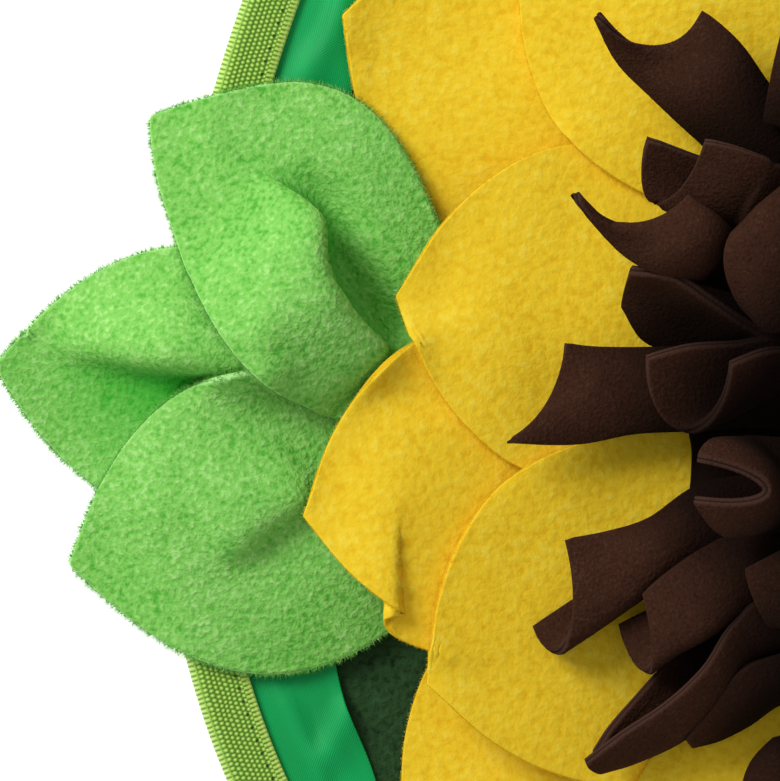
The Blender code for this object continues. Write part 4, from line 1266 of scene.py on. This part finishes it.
def loose_strip(sizes, ring, angle, random):
    """A strip of the tuft that stands up from its ring, bends outwards and ends free."""
    out = np.append(from_minus_x(1, angle), 0)
    side = np.array((-out[1], out[0], 0))
    up = np.array((0, 0, 1.0))
    reach = ring["reach"] * random.uniform(0.85, 1.1)
    end = ring["end"] * random.uniform(0.92, 1.06)
    sway = random.uniform(-7, 7)
    twist = random.uniform(-1.3, 1.3)
    tilt = random.uniform(-0.35, 0.35)
    # How far out and how high, and shares of the sway and of the twist that are reached there.
    path = (
        (0.0, STRIP_FOOT_HEIGHT, 0.0, 0.0),
        (0.5, ring["rise"] * 0.7, 0.0, 0.0),
        (4.0, ring["rise"], 0.1, 0.15),
        (0.36 * reach, max(ring["rise"] + 4, end), 0.4, 0.4),
        (0.70 * reach, end + 2.5, 0.8, 0.7),
        (reach, end, 1.0, 1.0),
    )
    half = sizes.strip_width / MM / 2
    rows = []
    for outwards, height, swayed, twisted in path:
        middle = out * (ring["radius"] + outwards) + side * sway * swayed + up * height
        turn = tilt * min(1, 2 * twisted) + twist * twisted**2
        spread = side * math.cos(turn) + up * math.sin(turn)
        bowed = middle + random.uniform(0.5, 3.0) * twisted * (up * math.cos(turn) - side * math.sin(turn))
        if twisted == 1:
            bowed = bowed - out * random.uniform(0, 5)
        rows.append((*(middle - half * spread), *bowed, *(middle + half * spread)))
    along, across, _ = LOOSE_STRIP
    return strip_grid(rows, along, across)


def lay_tuft(sizes, colours):
    """The rest of the strips, a ring at a time, between the ones that have their own places."""
    pile = strip_material(colours)
    taken = [("tuft_" + strip["ring"], strip["angle"] - turn) for strip, turn in PLACED]
    fringes = []
    for seed, ring in enumerate(TUFT_RINGS, start=300):
        random = np.random.default_rng(seed)
        grids = []
        for angle in ring["first"] + 360 / ring["count"] * np.arange(ring["count"]):
            near = [abs((angle - other + 180) % 360 - 180) for name, other in taken if name == ring["name"]]
            if min(near, default=180) >= ring["apart"]:
                grids.append(loose_strip(sizes, ring, angle, random))
        along, across, per_mm = PLACED_STRIP
        if ring["name"] == "tuft_outer":
            grids += [strip_grid(rooted_rows(sizes, strip), along, across) for strip in MORE_STRIPS]
        shells = [cloth_shell(grid, sizes.strip_thickness / MM, SPLIT_EDGE) for grid in grids]
        piece = make_piece(ring["name"], join_shells(shells), pile)
        fringes += [(loop, per_mm) for shell in shells for loop in shell["fringe"]]
    make_fuzz("tuft_fuzz", "strip", fringes, pile, seed=32)


# ------------------------------------------------------------------------------------------------ stage


def set_stage(settings):
    """A pale floor, soft light all round, a large lamp to the upper left and the camera straight above."""
    scene = bpy.context.scene
    bpy.ops.object.select_all(action="DESELECT")
    bpy.ops.mesh.primitive_plane_add(size=6, location=(0, 0, -0.0003))
    floor = bpy.context.object
    floor.name = "floor"
    paint = bpy.data.materials.new("floor_paint")
    paint.use_nodes = True
    shader = paint.node_tree.nodes["Principled BSDF"]
    shader.inputs["Base Color"].default_value = (*settings.floor_colour, 1)
    shader.inputs["Roughness"].default_value = 0.9
    shader.inputs["Emission Color"].default_value = (1, 1, 1, 1)
    shader.inputs["Emission Strength"].default_value = settings.floor_glow
    floor.data.materials.append(paint)

    world = bpy.data.worlds.new("soft_room")
    world.use_nodes = True
    world.node_tree.nodes["Background"].inputs["Color"].default_value = (1, 1, 1, 1)
    world.node_tree.nodes["Background"].inputs["Strength"].default_value = settings.room_light
    scene.world = world

    bpy.ops.object.light_add(type="AREA", location=LAMP_PLACE)
    lamp = bpy.context.object
    lamp.name = "large_lamp"
    lamp.data.size = 0.7
    lamp.data.energy = settings.lamp_power
    x, y, z = np.array(LAMP_AIM) - np.array(lamp.location)
    lamp.rotation_euler = (math.acos(-z / math.dist(LAMP_AIM, lamp.location)), 0, math.atan2(y, x) - math.pi / 2)

    bpy.ops.object.camera_add(location=(*VIEW_MIDDLE, settings.camera_height), rotation=(0, 0, 0))
    camera = bpy.context.object
    camera.name = "camera"
    camera.data.sensor_width = 36
    camera.data.lens = camera.data.sensor_width * (settings.camera_height - VIEW_LEVEL) / settings.view_width
    scene.camera = camera
    scene.view_settings.view_transform = "Standard"


# -------------------------------------------------------------------------------------------- operators


def run(context, lay, *facts):
    """Lays pieces in the scene's sizes and colours."""
    lay(context.scene.snuffle_mat_sizes, context.scene.snuffle_mat_colours, *facts)
    return {"FINISHED"}


class SNUFFLEMAT_OT_base(bpy.types.Operator):
    """Lay the round dark green fleece disc"""

    bl_idname = "snuffle_mat.base"
    bl_label = "Base Disc"

    def execute(self, context):
        return run(context, lay_base)


class SNUFFLEMAT_OT_collar(bpy.types.Operator):
    """Lay the bright green satin band inside the rim"""

    bl_idname = "snuffle_mat.collar"
    bl_label = "Satin Collar"

    def execute(self, context):
        return run(context, lay_collar)


class SNUFFLEMAT_OT_binding(bpy.types.Operator):
    """Fold the lime webbing tape over the rim"""

    bl_idname = "snuffle_mat.binding"
    bl_label = "Webbing Binding"

    def execute(self, context):
        return run(context, lay_binding)


class SNUFFLEMAT_OT_petals(bpy.types.Operator):
    """Lay some yellow petals of one row, from the first number to the last"""

    bl_idname = "snuffle_mat.petals"
    bl_label = "Petals"

    inner: BoolProperty(name="Inner Row", description="Lay the inner row", default=False)
    first: IntProperty(name="First", description="Number of the first petal", default=1, min=1, max=PETALS_IN_ROW)
    last: IntProperty(name="Last", description="Number of the last petal", default=PETALS_IN_ROW, max=PETALS_IN_ROW)

    def execute(self, context):
        row = "inner" if self.inner else "outer"
        return run(context, lay_petals, row, range(self.first, self.last + 1))


class SNUFFLEMAT_OT_leaves(bpy.types.Operator):
    """Lay the three light green leaves"""

    bl_idname = "snuffle_mat.leaves"
    bl_label = "Leaves"

    def execute(self, context):
        return run(context, lay_leaves)


class SNUFFLEMAT_OT_strips(bpy.types.Operator):
    """Add the brown strips that have their own places"""

    bl_idname = "snuffle_mat.strips"
    bl_label = "Strips"

    def execute(self, context):
        return run(context, lay_strips)


class SNUFFLEMAT_OT_tuft(bpy.types.Operator):
    """Fill the middle with the rest of the brown strips"""

    bl_idname = "snuffle_mat.tuft"
    bl_label = "Tuft"

    def execute(self, context):
        return run(context, lay_tuft)


class SNUFFLEMAT_OT_stage(bpy.types.Operator):
    """Set up the floor, the lamps and the camera"""

    bl_idname = "snuffle_mat.stage"
    bl_label = "Stage"

    def execute(self, context):
        set_stage(context.scene.snuffle_mat_stage)
        return {"FINISHED"}


class SNUFFLEMAT_PT_sidebar(bpy.types.Panel):
    """Buttons for each piece of the snuffle mat"""

    bl_label = "Snuffle Mat"
    bl_idname = "SNUFFLEMAT_PT_sidebar"
    bl_space_type = "VIEW_3D"
    bl_region_type = "UI"
    bl_category = "Snuffle Mat"

    def draw(self, context):
        for operator in OPERATORS:
            self.layout.operator(operator.bl_idname)


OPERATORS = (
    SNUFFLEMAT_OT_base,
    SNUFFLEMAT_OT_collar,
    SNUFFLEMAT_OT_binding,
    SNUFFLEMAT_OT_petals,
    SNUFFLEMAT_OT_leaves,
    SNUFFLEMAT_OT_strips,
    SNUFFLEMAT_OT_tuft,
    SNUFFLEMAT_OT_stage,
)
CLASSES = (SnuffleMatSizes, SnuffleMatColours, SnuffleMatStage, *OPERATORS, SNUFFLEMAT_PT_sidebar)


def register():
    for cls in CLASSES:
        bpy.utils.register_class(cls)
    bpy.types.Scene.snuffle_mat_sizes = PointerProperty(type=SnuffleMatSizes)
    bpy.types.Scene.snuffle_mat_colours = PointerProperty(type=SnuffleMatColours)
    bpy.types.Scene.snuffle_mat_stage = PointerProperty(type=SnuffleMatStage)


def unregister():
    del bpy.types.Scene.snuffle_mat_stage
    del bpy.types.Scene.snuffle_mat_colours
    del bpy.types.Scene.snuffle_mat_sizes
    for cls in reversed(CLASSES):
        bpy.utils.unregister_class(cls)


def main():
    register()
    steps = bpy.ops.snuffle_mat
    steps.base()
    steps.collar()
    steps.binding()
    steps.petals(inner=False, first=2, last=PETALS_IN_ROW)
    steps.leaves()
    steps.petals(inner=False, first=1, last=1)
    steps.petals(inner=True, first=1, last=PETALS_IN_ROW)
    steps.strips()
    steps.tuft()
    steps.stage()


if __name__ == "__main__":
    main()
